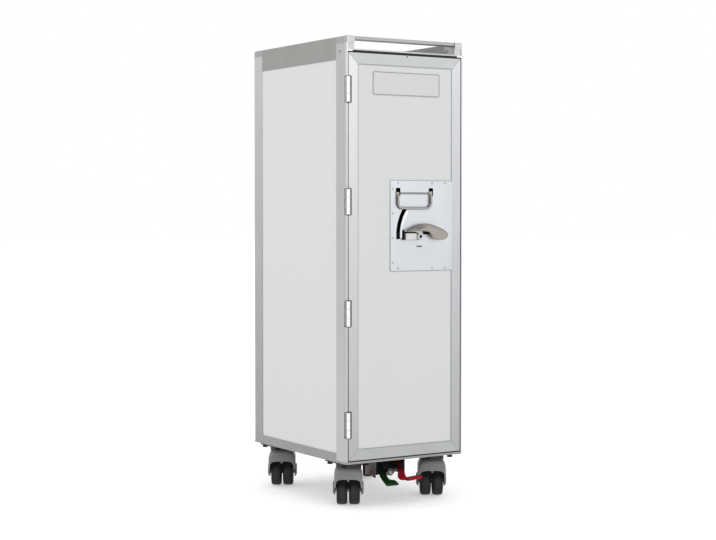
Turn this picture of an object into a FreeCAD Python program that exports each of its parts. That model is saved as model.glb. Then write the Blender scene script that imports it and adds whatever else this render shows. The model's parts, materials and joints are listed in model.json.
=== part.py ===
import FreeCAD, Part
import os
import re
import Sketcher

# Half-size galley trolley. Millimetres, Z up, door towards -Y, floor at Z = 0.
os.makedirs("parts", exist_ok=True)
doc = FreeCAD.newDocument("Trolley")
sheet = doc.addObject("Spreadsheet::Sheet", "Sizes")

SIZES = {
    # cabinet
    "overall_width": 305, "overall_depth": 415, "overall_height": 1020, "front_proud": 16,
    "base_height": 102, "base_thickness": 5, "base_corner": 3.5, "floor_rise": 20, "sheet_metal": 2,
    "post_width": 41, "post_web": 4, "post_corner": 3.5, "rear_corner": 6, "wall": 11.5,
    "panel_inset": 1.2, "panel_thickness": 9, "groove_depth": 5,
    "top_rail_height": 49, "rail_corner": 2.5, "bottom_rail_height": 15,
    "gallery_depth": 28, "deck_thickness": 5, "field_rise": 1, "field_margin": 4, "cap_height": 15,
    "cap_width": 21.5, "cap_corner": 7, "cap_setback": 2, "bar_height": 8, "bar_depth": 24, "bar_corner": 3,
    "stop_reach": 16, "stop_thickness": 3, "stop_height": 15,
    "runner_rise": 38, "runner_pitch": 60, "runner_head": 40, "runner_reach": 10, "runner_thickness": 3,
    # door
    "door_thickness": 28, "door_gap": 2.5, "hinge_gap": 2, "latch_gap": 2.5, "frame_width": 23,
    "panel_recess": 1, "gasket_width": 8, "gasket_height": 3.6, "gasket_gap": 0.4, "gasket_margin": 1.5,
    "hinge_below": 77.5, "hinge_above": 78.4, "hinge_count": 4, "hinge_length": 54.5, "hinge_middle": 19.6,
    "hinge_radius": 5.2, "hinge_forward": 2.5, "hinge_pin": 1.95, "hinge_bore": 2, "hinge_leaf": 0.8,
    "leaf_depth": 26, "notch_depth": 9, "notch_width": 7, "notch_margin": 1, "knuckle_gap": 0.4,
    "card_inset": 37.5, "card_width": 176, "card_drop": 13.5, "card_height": 52, "card_thickness": 0.8,
    "card_corner": 3,
    # latch
    "plate_width": 163, "plate_bottom": 516, "plate_height": 196.7, "plate_proud": 1, "plate_thickness": 2,
    "housing_margin": 3, "housing_depth": 21, "housing_wall": 1.5,
    "bail_inset": 17.5, "bail_width": 86.5, "bail_up": 166.5, "bail_sunk": 5.5, "bail_drop": 32,
    "bail_wire": 3, "bail_bend": 5, "bail_standoff": 1, "bail_journal": 7, "bail_slot": 12,
    "slot_shift": 2, "slot_margin": 4, "lug_width": 6, "lug_size": 8.8, "journal_fit": 0.06,
    "lever_inset": 42.4, "lever_up": 78.3, "lever_reach": 82, "lever_rise": 23.8, "lever_apex": 34.6,
    "lever_tail": 5.5, "lever_tip": 4, "lever_crown": 11.7, "lever_grip": 24, "lever_drop": 13.2,
    "lever_thickness": 10, "lever_corner": 1.8,
    "lever_hub": 11, "lever_gap": 0.3, "spindle_radius": 5, "spindle_fit": 0.05, "lever_lift": 32,
    "guide_edge": 19.6, "guide_pin": 4.2, "guide_slot": 4.8, "guide_rest": 5, "crank_plate": 3,
    "crank_radius": 11.4, "crank_pin": 3, "crank_fit": 0.3, "crank_width": 12,
    "bolt_thickness": 8, "bolt_height": 16, "bolt_length": 86, "bolt_shy": 0.5, "bolt_fit": 0.5,
    "seal_inset": 33.5, "seal_length": 28, "seal_up": 67.4, "seal_height": 15.3, "seal_depth": 11,
    "eyelet_inset": 70.7, "eyelet_up": 74.9, "eyelet_radius": 8, "eyelet_bore": 2.2, "eyelet_depth": 13,
    "rivet_radius": 2.4, "rivet_head": 1.2, "rivet_margin": 5, "rivet_first": 18.5,
    "rivet_count": 4, "rivet_near": 0.12, "rivet_mid": 0.67, "rivet_far": 0.88,
    # brake
    "shaft_rise": 8.5, "shaft_radius": 5, "shaft_fit": 0.05, "shaft_reach": 120, "bearing_x": 72,
    "bearing_width": 12, "bearing_size": 17, "finger_reach": 14.3, "finger_width": 10, "finger_tip": 1,
    "finger_thickness": 3, "finger_gap": 0.3, "pedal_travel": 12, "pedal_hub": 8.5, "pedal_strip": 5,
    "arm_width": 16, "green_x": 31.5, "green_width": 30, "red_x": 16, "red_left": 10, "red_width": 37,
    "arm_back": 20, "arm_fall": 26, "tread_back": 50, "tread_fall": 50, "tread_length": 25, "tread_tip": 2,
    "rocker_y": 26, "rocker_plate": 4, "rocker_height": 6, "rocker_nose": 4, "rocker_hub": 8,
    "rocker_pin": 4, "rocker_drop": 48, "rocker_tilt": 17.1, "bracket_sheet": 3, "bracket_back": 16,
    "bracket_drop": 46, "bracket_cheek": 30, "bracket_left": 45, "bracket_right": 30, "bracket_front": 24,
    # casters
    "caster_x": 111, "caster_y": 148, "caster_turn": 31.5, "caster_trail": 25, "plate_size": 74,
    "plate_sheet": 4, "race_radius": 27, "race_gap": 0.4, "kingpin_radius": 11, "kingpin_fit": 0.06,
    "plunger_radius": 5, "plunger_fit": 0.35, "plunger_hole": 9, "foot_radius": 10, "foot_thickness": 4,
    "bolt_spacing": 58, "bolt_head": 6, "head_thickness": 6,
    "wheel_clear": 6, "wheel_width": 24, "wheel_gap": 3.5, "tread_corner": 5, "axle_radius": 5,
    "axle_fit": 0.05, "hood_drop": 16, "hood_width": 62, "hood_wall": 4, "hood_roof": 6, "hood_front": 30,
    "hood_back": 22, "skirt_depth": 29, "leg_below": 17, "leg_half": 15, "hood_corner": 7, "hood_flat": 4,
    "hood_slope": 14, "roof_slope": 4,
    "boss_radius": 14, "boss_proud": 3,
}
for row, (alias, number) in enumerate(SIZES.items(), start=1):
    sheet.set("A%d" % row, alias)
    sheet.set("B%d" % row, str(number))
    sheet.setAlias("B%d" % row, alias)
doc.recompute()


def cells(text):
    """Point each size in an expression at its cell."""
    return re.sub(r"[a-z_]+", lambda m: "Sizes." + m.group() if m.group() in SIZES else m.group(), text)


def value(text):
    """Return what an expression comes to."""
    number = sheet.evalExpression(text)
    return float(getattr(number, "Value", number))


def bind(thing, **sizes):
    """Bind properties to expressions; a double underscore stands for a dot."""
    for name, text in sizes.items():
        thing.setExpression(name.replace("__", "."), cells(text))
    return thing


def place(thing, x="0", y="0", z="0", axis=None, angle=None):
    """Put a thing at x, y, z, turned by an angle about an axis."""
    if axis:
        thing.Placement = FreeCAD.Placement(FreeCAD.Vector(), FreeCAD.Rotation(FreeCAD.Vector(*axis), 30))
        bind(thing, Placement__Rotation__Angle=angle)
    return bind(thing, Placement__Base__x=x, Placement__Base__y=y, Placement__Base__z=z)


def block(name, x, y, z):
    """Make a box between pairs of limits."""
    thing = doc.addObject("Part::Box", name)
    spans = ["(%s) - (%s)" % (high, low) for low, high in (x, y, z)]
    bind(thing, Length=spans[0], Width=spans[1], Height=spans[2])
    return place(thing, x[0], y[0], z[0])


def rod(name, along, radius, start, length):
    """Make a cylinder from a start point along +X, +Y or +Z."""
    thing = doc.addObject("Part::Cylinder", name)
    turn = {"X": FreeCAD.Rotation(FreeCAD.Vector(0, 1, 0), 90),
            "Y": FreeCAD.Rotation(FreeCAD.Vector(1, 0, 0), -90),
            "Z": FreeCAD.Rotation()}[along]
    thing.Placement = FreeCAD.Placement(FreeCAD.Vector(), turn)
    bind(thing, Radius=radius, Height=length)
    return place(thing, *start)


def fuse(name, *pieces):
    """Join solids into one."""
    thing = doc.addObject("Part::MultiFuse", name)
    thing.Shapes = list(pieces)
    thing.Refine = True
    return thing


def cut(name, base, *tools):
    """Take tools out of a base."""
    thing = doc.addObject("Part::Cut", name)
    thing.Base = base
    thing.Tool = tools[0] if len(tools) == 1 else fuse(name + "_tools", *tools)
    thing.Refine = True
    return thing


def group(name, pieces):
    """Keep separate solids together under one name."""
    thing = doc.addObject("Part::Compound", name)
    thing.Links = list(pieces)
    return thing


def body(name):
    """Start a body."""
    return doc.addObject("PartDesign::Body", name)


def sketch(owner, plane, offset="0"):
    """Start a sketch on one of the body's own planes."""
    thing = owner.newObject("Sketcher::SketchObject", owner.Name + "_sketch")
    thing.AttachmentSupport = [(next(f for f in owner.Origin.OriginFeatures if f.Role == plane), "")]
    thing.MapMode = "FlatFace"
    return bind(thing, AttachmentOffset__Base__z=offset)


def outline(drawing, points):
    """Draw a closed outline whose corners are bound to expressions."""
    spots = [FreeCAD.Vector(value(a), value(b), 0) for a, b in points]
    lines = []
    for start, end in zip(spots, spots[1:] + spots[:1]):
        lines.append(drawing.addGeometry(Part.LineSegment(start, end), False))
    for here, after in zip(lines, lines[1:] + lines[:1]):
        drawing.addConstraint(Sketcher.Constraint("Coincident", here, 2, after, 1))
    for line, spot, point in zip(lines, spots, points):
        for kind, number, text in (("DistanceX", spot.x, point[0]), ("DistanceY", spot.y, point[1])):
            rule = drawing.addConstraint(Sketcher.Constraint(kind, -1, 1, line, 1, number))
            drawing.setExpression("Constraints[%d]" % rule, cells(text))
    return drawing


def ring(drawing, a, b, radius):
    """Draw a circle bound to expressions."""
    spot = FreeCAD.Vector(value(a), value(b), 0)
    line = drawing.addGeometry(Part.Circle(spot, FreeCAD.Vector(0, 0, 1), value(radius)), False)
    rules = (("DistanceX", spot.x, a), ("DistanceY", spot.y, b))
    for kind, number, text in rules:
        rule = drawing.addConstraint(Sketcher.Constraint(kind, -1, 1, line, 3, number))
        drawing.setExpression("Constraints[%d]" % rule, cells(text))
    rule = drawing.addConstraint(Sketcher.Constraint("Radius", line, value(radius)))
    drawing.setExpression("Constraints[%d]" % rule, cells(radius))
    return drawing


def pad(owner, drawing, length, middle=False, back=False):
    """Raise a sketch into a solid."""
    thing = owner.newObject("PartDesign::Pad", owner.Name + "_pad")
    thing.Profile = drawing
    thing.Midplane = middle
    thing.Reversed = back
    return bind(thing, Length=length)


def pocket(owner, drawing, depth, middle=False, back=False):
    """Cut a sketch out of the body, and make sure that it cuts."""
    doc.recompute()
    before = owner.Shape.Volume
    thing = owner.newObject("PartDesign::Pocket", owner.Name + "_pocket")
    thing.Profile = drawing
    thing.Midplane = middle
    thing.Reversed = back
    bind(thing, Length=depth)
    doc.recompute()
    if owner.Shape.Volume > before - 0.01:
        raise RuntimeError("pocket cuts nothing in " + owner.Name)
    return thing


def soften(owner, radius, chosen):
    """Round the edges of the body that a test chooses."""
    doc.recompute()
    base = owner.Tip
    names = []
    for index, edge in enumerate(base.Shape.Edges, start=1):
        if chosen(edge):
            names.append("Edge%d" % index)
    if not names:
        raise RuntimeError("no edge to round in " + owner.Name)
    thing = owner.newObject("PartDesign::Fillet", owner.Name + "_fillet")
    thing.Base = (base, names)
    bind(thing, Radius=radius)
    doc.recompute()
    return thing


def near(number, text):
    """Say whether a number is what an expression comes to."""
    return abs(number - value(text)) < 0.01


def runs(edge, along):
    """Say whether an edge is straight along an axis."""
    if len(edge.Vertexes) < 2 or not isinstance(edge.Curve, Part.Line):
        return False
    way = edge.Vertexes[1].Point - edge.Vertexes[0].Point
    return abs(abs(way.normalize().dot(FreeCAD.Vector(*along))) - 1) < 1e-6


SIDE = "(overall_width / 2)"
FRONT = "((front_proud - overall_depth) / 2)"
BACK = "((front_proud + overall_depth) / 2)"
BASE = "(base_height + base_thickness)"
FLOOR = "(base_height + base_thickness + floor_rise)"
DECK = "(overall_height - gallery_depth)"
CEILING = "(overall_height - gallery_depth - deck_thickness)"
POST_TOP = "(overall_height - cap_height)"
BAND = "(overall_height - top_rail_height)"
SILL = "(base_height + base_thickness + bottom_rail_height)"
STOP = f"({FRONT} + door_thickness + gasket_height + gasket_gap)"
HOOD_TOP = "(base_height - hood_drop)"
WHEEL = "((base_height - hood_drop - hood_roof - wheel_clear) / 2)"
SKIRT = f"({HOOD_TOP} - skirt_depth)"
LEFT, RIGHT = "-1", "1"
nodes = []


def node(thing, label):
    """Name a finished sub-part."""
    thing.Label = label
    nodes.append(thing)
    return thing


def across(side, inward):
    """Give the x of a point that lies inward of one side."""
    return f"{side} * ({SIDE} - ({inward}))"


# Base plate, floor pan and door stops
AXLE_ROWS = {"front": "(front_proud / 2 - caster_y)", "rear": "(front_proud / 2 + caster_y)"}
SHAFT_Y = f"({AXLE_ROWS['front']} + finger_reach)"
SHAFT_Z = f"({BASE} + shaft_rise)"
CORNERS = [(f"{row}_{hand}", f"{sign} * caster_x", AXLE_ROWS[row])
           for row in ("front", "rear") for hand, sign in (("left", LEFT), ("right", RIGHT))]

plate = body("BasePlate")
outline(sketch(plate, "XY_Plane", "base_height"),
        [(f"-{SIDE}", FRONT), (SIDE, FRONT), (SIDE, BACK), (f"-{SIDE}", BACK)])
pad(plate, plate.Group[-1], "base_thickness")
soften(plate, "base_corner", lambda e: runs(e, (0, 0, 1)))
holes = sketch(plate, "XY_Plane", BASE)
for name, x, y in CORNERS[:2]:
    ring(holes, x, y, "plunger_hole")
for middle in ("-green_x", "red_x"):
    reach = [f"{middle} - arm_width / 2 - 2", f"{middle} + arm_width / 2 + 2"]
    depth = [f"{SHAFT_Y} - pedal_hub * 3", f"{SHAFT_Y} + pedal_hub + 2"]
    outline(holes, [(reach[0], depth[0]), (reach[1], depth[0]), (reach[1], depth[1]), (reach[0], depth[1])])
pocket(plate, holes, "base_thickness")
node(plate, "base_plate")

pan = body("FloorPan")
inner = f"({SIDE} - wall)"
outline(sketch(pan, "XZ_Plane", f"-({STOP} + stop_thickness)"), [
    (f"-{inner}", BASE), (f"-{inner} + sheet_metal", BASE),
    (f"-{inner} + sheet_metal", f"{FLOOR} - sheet_metal"),
    (f"{inner} - sheet_metal", f"{FLOOR} - sheet_metal"), (f"{inner} - sheet_metal", BASE), (inner, BASE),
    (inner, FLOOR), (f"-{inner}", FLOOR)])
pad(pan, pan.Group[-1], f"{BACK} - wall - {STOP} - stop_thickness", back=True)
node(pan, "floor_pan")

stop_x = (f"stop_reach - {SIDE}", f"{SIDE} - stop_reach")
stop_y = (STOP, f"{STOP} + stop_thickness")
sill_stop = block("SillStop", stop_x, stop_y, (BASE, FLOOR))
head_stop = block("HeadStop", stop_x, stop_y, (f"{CEILING} - stop_height", CEILING))
node(group("DoorStops", [sill_stop, head_stop]), "door_stops")

# Door and latch places
DOOR_X = (f"(post_web + hinge_gap - {SIDE})", f"({SIDE} - post_web - latch_gap)")
DOOR_Z = (f"({BASE} + door_gap)", f"({CEILING} - door_gap)")
SIGHT_X = (f"({DOOR_X[0]} + frame_width)", f"({DOOR_X[1]} - frame_width)")
SIGHT_Z = (f"({DOOR_Z[0]} + frame_width)", f"({DOOR_Z[1]} - frame_width)")
PLATE_X = (f"({SIGHT_X[1]} - plate_width)", SIGHT_X[1])
PLATE_Z = ("plate_bottom", "(plate_bottom + plate_height)")
LEVER_X = f"({SIGHT_X[1]} - lever_inset)"
GUIDE = "(plate_width - lever_inset - guide_edge)"
LEVER_Z = f"({PLATE_Z[0]} + lever_up)"

# Corner posts
HINGE_X = f"(post_web + hinge_gap / 2 - {SIDE})"
HINGE_Y = f"({FRONT} - hinge_forward)"
HINGE_SPAN = f"({DOOR_Z[1]} - {DOOR_Z[0]} - hinge_below - hinge_above)"
HINGE_Z = [f"({DOOR_Z[0]} + hinge_below + {i} * {HINGE_SPAN} / (hinge_count - 1))"
           for i in range(int(value("hinge_count")))]
LATCH_Z = f"({LEVER_Z} + crank_radius * cos(lever_lift / 2 * 1deg))"
BOLT_BACK = f"({FRONT} + housing_wall * 2 + crank_plate * 2)"
BOLT_Y = (BOLT_BACK, f"({BOLT_BACK} + bolt_thickness)")


def front_post(name, side):
    """Build a front post: a thin web beside the door, a stop flange and a panel groove."""
    post = body(name)
    groove = f"{FRONT} + post_width - groove_depth"
    rear = f"{FRONT} + post_width"
    outline(sketch(post, "XY_Plane", BASE), [
        (across(side, "0"), FRONT), (across(side, "post_web"), FRONT), (across(side, "post_web"), STOP),
        (across(side, "stop_reach"), STOP), (across(side, "stop_reach"), f"{STOP} + stop_thickness"),
        (across(side, "wall"), f"{STOP} + stop_thickness"), (across(side, "wall"), rear),
        (across(side, "panel_inset + panel_thickness"), rear),
        (across(side, "panel_inset + panel_thickness"), groove), (across(side, "panel_inset"), groove),
        (across(side, "panel_inset"), rear), (across(side, "0"), rear)])
    pad(post, post.Group[-1], f"{POST_TOP} - {BASE}")
    edge_x = value(across(side, "0"))
    soften(post, "post_corner", lambda e: runs(e, (0, 0, 1)) and abs(e.Vertexes[0].X - edge_x) < 0.01
           and near(e.Vertexes[0].Y, FRONT))
    return post


left_post = front_post("FrontLeftPost", LEFT)
notches = sketch(left_post, "YZ_Plane", f"-{SIDE}")
for z in HINGE_Z:
    low = f"{z} - hinge_length / 2 - notch_margin"
    high = f"{z} + hinge_length / 2 + notch_margin"
    outline(notches, [(f"{FRONT} - 1", low), (f"{FRONT} + notch_depth", low),
                      (f"{FRONT} + notch_depth", high), (f"{FRONT} - 1", high)])
pocket(left_post, notches, "post_web", back=True)
node(left_post, "front_left_post")

right_post = front_post("FrontRightPost", RIGHT)
keeper = sketch(right_post, "YZ_Plane", SIDE)
keep_z = (f"{LATCH_Z} - bolt_height / 2 - bolt_fit", f"{LATCH_Z} + bolt_height / 2 + bolt_fit")
keep_y = (f"{BOLT_Y[0]} - bolt_fit", f"{BOLT_Y[1]} + bolt_fit")
outline(keeper, [(keep_y[0], keep_z[0]), (keep_y[1], keep_z[0]), (keep_y[1], keep_z[1]),
                 (keep_y[0], keep_z[1])])
pocket(right_post, keeper, "post_web")
node(right_post, "front_right_post")


def rear_post(name, side):
    """Build a rear post: an L with a panel groove at the end of each leg."""
    post = body(name)
    lead = f"{BACK} - post_width"
    outline(sketch(post, "XY_Plane", BASE), [
        (across(side, "0"), BACK), (across(side, "0"), lead), (across(side, "panel_inset"), lead),
        (across(side, "panel_inset"), f"{lead} + groove_depth"),
        (across(side, "panel_inset + panel_thickness"), f"{lead} + groove_depth"),
        (across(side, "panel_inset + panel_thickness"), lead), (across(side, "wall"), lead),
        (across(side, "wall"), f"{BACK} - wall"), (across(side, "post_width"), f"{BACK} - wall"),
        (across(side, "post_width"), f"{BACK} - panel_inset - panel_thickness"),
        (across(side, "post_width - groove_depth"), f"{BACK} - panel_inset - panel_thickness"),
        (across(side, "post_width - groove_depth"), f"{BACK} - panel_inset"),
        (across(side, "post_width"), f"{BACK} - panel_inset"), (across(side, "post_width"), BACK)])
    pad(post, post.Group[-1], f"{POST_TOP} - {BASE}")
    edge_x = value(across(side, "0"))
    soften(post, "rear_corner", lambda e: runs(e, (0, 0, 1)) and abs(e.Vertexes[0].X - edge_x) < 0.01
           and near(e.Vertexes[0].Y, BACK))
    return post


node(rear_post("RearLeftPost", LEFT), "rear_left_post")
node(rear_post("RearRightPost", RIGHT), "rear_right_post")

# Panels and rails
PANEL_Z = (f"{SILL} - groove_depth", f"{BAND} + groove_depth")
PANEL_Y = (f"{FRONT} + post_width - groove_depth", f"{BACK} - post_width + groove_depth")
RAIL_Y = (f"{FRONT} + post_width", f"{BACK} - post_width")
left_x = (f"panel_inset - {SIDE}", f"panel_inset + panel_thickness - {SIDE}")
right_x = (f"{SIDE} - panel_inset - panel_thickness", f"{SIDE} - panel_inset")
node(block("LeftPanel", left_x, PANEL_Y, PANEL_Z), "left_side_panel")
node(block("RightPanel", right_x, PANEL_Y, PANEL_Z), "right_side_panel")
REAR_X = f"({SIDE} - post_width)"
node(block("RearPanel", (f"-{REAR_X} - groove_depth", f"{REAR_X} + groove_depth"),
           (f"{BACK} - panel_inset - panel_thickness", f"{BACK} - panel_inset"), PANEL_Z), "rear_panel")


def rail(name, corners, plane, offset, length, back=False):
    """Build a rail with a panel groove along one edge."""
    thing = body(name)
    outline(sketch(thing, plane, offset), corners)
    pad(thing, thing.Group[-1], length, back=back)
    return thing


def grooved(near_edge, far_edge, low, high, groove_at, sign):
    """Give the corners of a rail section with its panel groove at the top or the bottom."""
    first, second = (f"{near_edge} + {sign} * panel_inset",
                     f"{near_edge} + {sign} * (panel_inset + panel_thickness)")
    if groove_at == "bottom":
        return [(near_edge, low), (first, low), (first, f"{low} + groove_depth"),
                (second, f"{low} + groove_depth"), (second, low), (far_edge, low), (far_edge, high),
                (near_edge, high)]
    return [(near_edge, low), (far_edge, low), (far_edge, high), (second, high),
            (second, f"{high} - groove_depth"), (first, f"{high} - groove_depth"), (first, high),
            (near_edge, high)]


for hand, side in (("left", LEFT), ("right", RIGHT)):
    edges = (across(side, "0"), across(side, "wall"))
    inward = f"(-1 * {side})"
    section = grooved(*edges, BAND, "overall_height", "bottom", inward)
    top = rail(hand.title() + "TopRail", section, "XZ_Plane", f"-({RAIL_Y[0]})",
               f"{RAIL_Y[1]} - ({RAIL_Y[0]})", back=True)
    soften(top, "rail_corner", lambda e: runs(e, (0, 1, 0)) and near(e.Vertexes[0].Z, "overall_height"))
    node(top, hand + "_top_rail")
    node(rail(hand.title() + "BottomRail", grooved(*edges, BASE, SILL, "top", inward), "XZ_Plane",
              f"-({RAIL_Y[0]})", f"{RAIL_Y[1]} - ({RAIL_Y[0]})", back=True), hand + "_bottom_rail")
node(rail("RearTopRail", grooved(BACK, f"{BACK} - wall", BAND, DECK, "bottom", "(-1)"), "YZ_Plane",
          f"-{REAR_X}", f"2 * {REAR_X}"), "rear_top_rail")
node(rail("RearBottomRail", grooved(BACK, f"{BACK} - wall", BASE, SILL, "top", "(-1)"), "YZ_Plane",
          f"-{REAR_X}", f"2 * {REAR_X}"), "rear_bottom_rail")

# Top deck, push bars and corner caps
deck = body("TopDeck")
steps = [("post_web", FRONT), ("post_web", STOP), ("stop_reach", STOP),
         ("stop_reach", f"{STOP} + stop_thickness"), ("wall", f"{STOP} + stop_thickness"),
         ("wall", f"{BACK} - wall")]
outline(sketch(deck, "XY_Plane", CEILING),
        [(across(RIGHT, inward), y) for inward, y in steps]
        + [(across(LEFT, inward), y) for inward, y in reversed(steps)])
pad(deck, deck.Group[-1], "deck_thickness")
field_x = f"({SIDE} - wall - field_margin)"
field_y = (f"{FRONT} + post_width + field_margin", f"{BACK} - post_width - field_margin")
field = outline(sketch(deck, "XY_Plane", DECK), [(f"-{field_x}", field_y[0]), (field_x, field_y[0]),
                                                 (field_x, field_y[1]), (f"-{field_x}", field_y[1])])
pad(deck, field, "field_rise")
node(deck, "top_deck")


def push_bar(name, half, y, label):
    """Build a push bar with rounded long edges."""
    bar = body(name)
    low = "overall_height - bar_height"
    outline(sketch(bar, "YZ_Plane"), [(y, low), (f"{y} + bar_depth", low),
                                      (f"{y} + bar_depth", "overall_height"), (y, "overall_height")])
    pad(bar, bar.Group[-1], f"2 * ({half})", middle=True)
    soften(bar, "bar_corner", lambda e: runs(e, (1, 0, 0)))
    return node(bar, label)


push_bar("FrontBar", f"{SIDE} - cap_width", f"{FRONT} + cap_setback", "front_push_bar")
push_bar("RearBar", REAR_X, f"{BACK} - cap_setback - bar_depth", "rear_push_bar")

caps = []
for name, x, y in CORNERS:
    side = x.split(" ")[0]
    ahead = name.startswith("front")
    width = "cap_width" if ahead else "post_width"
    outer_y = FRONT if ahead else BACK
    inner_y = f"{FRONT} + post_width" if ahead else f"{BACK} - post_width"
    cap = body("Cap_" + name)
    outline(sketch(cap, "XY_Plane", POST_TOP), [
        (across(side, "0"), outer_y), (across(side, width), outer_y), (across(side, width), inner_y),
        (across(side, "0"), inner_y)])
    pad(cap, cap.Group[-1], "cap_height")
    corner_x = value(across(side, "0"))
    soften(cap, "cap_corner", lambda e: runs(e, (0, 0, 1)) and abs(e.Vertexes[0].X - corner_x) < 0.01
           and near(e.Vertexes[0].Y, outer_y))
    soften(cap, "rail_corner", lambda e: near(e.BoundBox.ZMin, "overall_height")
           and abs(e.BoundBox.Center.y - value(inner_y)) > 0.01
           and abs(e.BoundBox.Center.x - value(across(side, width))) > 0.01)
    if ahead:
        foot = sketch(cap, "XY_Plane", DECK)
        feet = [(across(side, "post_web"), f"{FRONT} + cap_setback"),
                (across(side, width), f"{FRONT} + cap_setback"),
                (across(side, width), f"{FRONT} + cap_setback + bar_depth"),
                (across(side, "post_web"), f"{FRONT} + cap_setback + bar_depth")]
        outline(foot, feet)
        pad(cap, foot, f"{POST_TOP} - {DECK}")
    caps.append(cap)
node(group("CornerCaps", caps), "corner_caps")

# Tray runners
runners = []
runner_room = value(f"{CEILING} - {FLOOR} - runner_rise - runner_head")
for i in range(int(runner_room / value("runner_pitch")) + 1):
    level = f"{FLOOR} + runner_rise + {i} * runner_pitch"
    for side in (LEFT, RIGHT):
        wall_x = across(side, "panel_inset + panel_thickness")
        lip_x = across(side, "panel_inset + panel_thickness + runner_reach")
        span = (wall_x, lip_x) if side == LEFT else (lip_x, wall_x)
        runners.append(block("Runner", span, RAIL_Y, (level, f"{level} + runner_thickness")))
node(group("TrayRunners", runners), "tray_runners")

# Door frame, panel and seal
frame_bars = {
    "door_hinge_stile": [(DOOR_X[0], DOOR_Z[0]), (SIGHT_X[0], SIGHT_Z[0]), (SIGHT_X[0], SIGHT_Z[1]),
                         (DOOR_X[0], DOOR_Z[1])],
    "door_latch_stile": [(DOOR_X[1], DOOR_Z[0]), (DOOR_X[1], DOOR_Z[1]), (SIGHT_X[1], SIGHT_Z[1]),
                         (SIGHT_X[1], SIGHT_Z[0])],
    "door_top_rail": [(DOOR_X[0], DOOR_Z[1]), (SIGHT_X[0], SIGHT_Z[1]), (SIGHT_X[1], SIGHT_Z[1]),
                      (DOOR_X[1], DOOR_Z[1])],
    "door_bottom_rail": [(DOOR_X[0], DOOR_Z[0]), (DOOR_X[1], DOOR_Z[0]), (SIGHT_X[1], SIGHT_Z[0]),
                         (SIGHT_X[0], SIGHT_Z[0])],
}
for label, corners in frame_bars.items():
    bar = body(label.title().replace("_", ""))
    outline(sketch(bar, "XZ_Plane", f"-({FRONT})"), corners)
    pad(bar, bar.Group[-1], "door_thickness", back=True)
    if label == "door_hinge_stile":
        notches = sketch(bar, "XZ_Plane", f"-({FRONT})")
        for z in HINGE_Z:
            low = f"{z} - hinge_length / 2 - notch_margin"
            high = f"{z} + hinge_length / 2 + notch_margin"
            outline(notches, [(f"{DOOR_X[0]} - 1", low), (f"{DOOR_X[0]} + notch_width", low),
                              (f"{DOOR_X[0]} + notch_width", high), (f"{DOOR_X[0]} - 1", high)])
        pocket(bar, notches, "notch_depth")
    if label == "door_latch_stile":
        tunnel = sketch(bar, "YZ_Plane", DOOR_X[1])
        outline(tunnel, [(keep_y[0], keep_z[0]), (keep_y[1], keep_z[0]), (keep_y[1], keep_z[1]),
                         (keep_y[0], keep_z[1])])
        pocket(bar, tunnel, "frame_width")
    node(bar, label)

BOX_X = (f"({PLATE_X[0]} + housing_margin)", SIGHT_X[1])
BOX_Z = (f"({PLATE_Z[0]} + housing_margin)", f"({PLATE_Z[1]} - housing_margin)")
FACE = f"({FRONT} + panel_recess)"
slab = block("DoorSlab", SIGHT_X, (FACE, f"{FRONT} + door_thickness"), SIGHT_Z)
well = block("DoorWell", BOX_X, (FACE, f"{FACE} + housing_depth"), BOX_Z)
node(cut("DoorPanel", slab, well), "door_panel")

seal_y = (f"{FRONT} + door_thickness", f"{FRONT} + door_thickness + gasket_height")
seal_out = block("SealOuter", (f"{DOOR_X[0]} + gasket_margin", f"{DOOR_X[1]} - gasket_margin"), seal_y,
                 (f"{DOOR_Z[0]} + gasket_margin", f"{DOOR_Z[1]} - gasket_margin"))
rim = "gasket_margin + gasket_width"
seal_in = block("SealInner", (f"{DOOR_X[0]} + {rim}", f"{DOOR_X[1]} - {rim}"), seal_y,
                (f"{DOOR_Z[0]} + {rim}", f"{DOOR_Z[1]} - {rim}"))
node(cut("DoorSeal", seal_out, seal_in), "door_gasket")

# Hinges
post_leaves, door_leaves, pins = [], [], []
for i, z in enumerate(HINGE_Z):
    low = f"{z} - hinge_length / 2"
    mid = f"{z} - hinge_middle / 2"
    end = f"{FRONT} + leaf_depth"
    bore = (HINGE_X, HINGE_Y, low)
    clear = "hinge_radius + knuckle_gap"
    barrel = rod(f"PostBarrel{i}", "Z", "hinge_radius", bore, "hinge_length")
    leaf = block(f"PostLeaf{i}", (f"{HINGE_X} - hinge_gap / 2", f"{HINGE_X} - hinge_gap / 2 + hinge_leaf"),
                 (HINGE_Y, end), (low, f"{low} + hinge_length"))
    relief = rod(f"PostRelief{i}", "Z", clear, (HINGE_X, HINGE_Y, f"{mid} - knuckle_gap"),
                 "hinge_middle + 2 * knuckle_gap")
    hole = rod(f"PostBore{i}", "Z", "hinge_bore", bore, "hinge_length")
    post_leaves.append(cut(f"PostHinge{i}", fuse(f"PostBlank{i}", barrel, leaf), relief, hole))
    barrel = rod(f"DoorBarrel{i}", "Z", "hinge_radius", (HINGE_X, HINGE_Y, mid), "hinge_middle")
    leaf = block(f"DoorLeaf{i}", (f"{HINGE_X} + hinge_gap / 2 - hinge_leaf", f"{HINGE_X} + hinge_gap / 2"),
                 (HINGE_Y, end), (low, f"{low} + hinge_length"))
    rest = f"hinge_length / 2 - hinge_middle / 2"
    upper = rod(f"DoorReliefUp{i}", "Z", clear, (HINGE_X, HINGE_Y, f"{z} + hinge_middle / 2"), rest)
    lower = rod(f"DoorReliefLow{i}", "Z", clear, bore, rest)
    hole = rod(f"DoorBore{i}", "Z", "hinge_bore", bore, "hinge_length")
    flap = cut(f"DoorFlap{i}", leaf, upper, lower)
    door_leaves.append(cut(f"DoorHinge{i}", fuse(f"DoorBlank{i}", barrel, flap), hole))
    pins.append(rod(f"HingePin{i}", "Z", "hinge_pin", bore, "hinge_length"))
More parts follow.
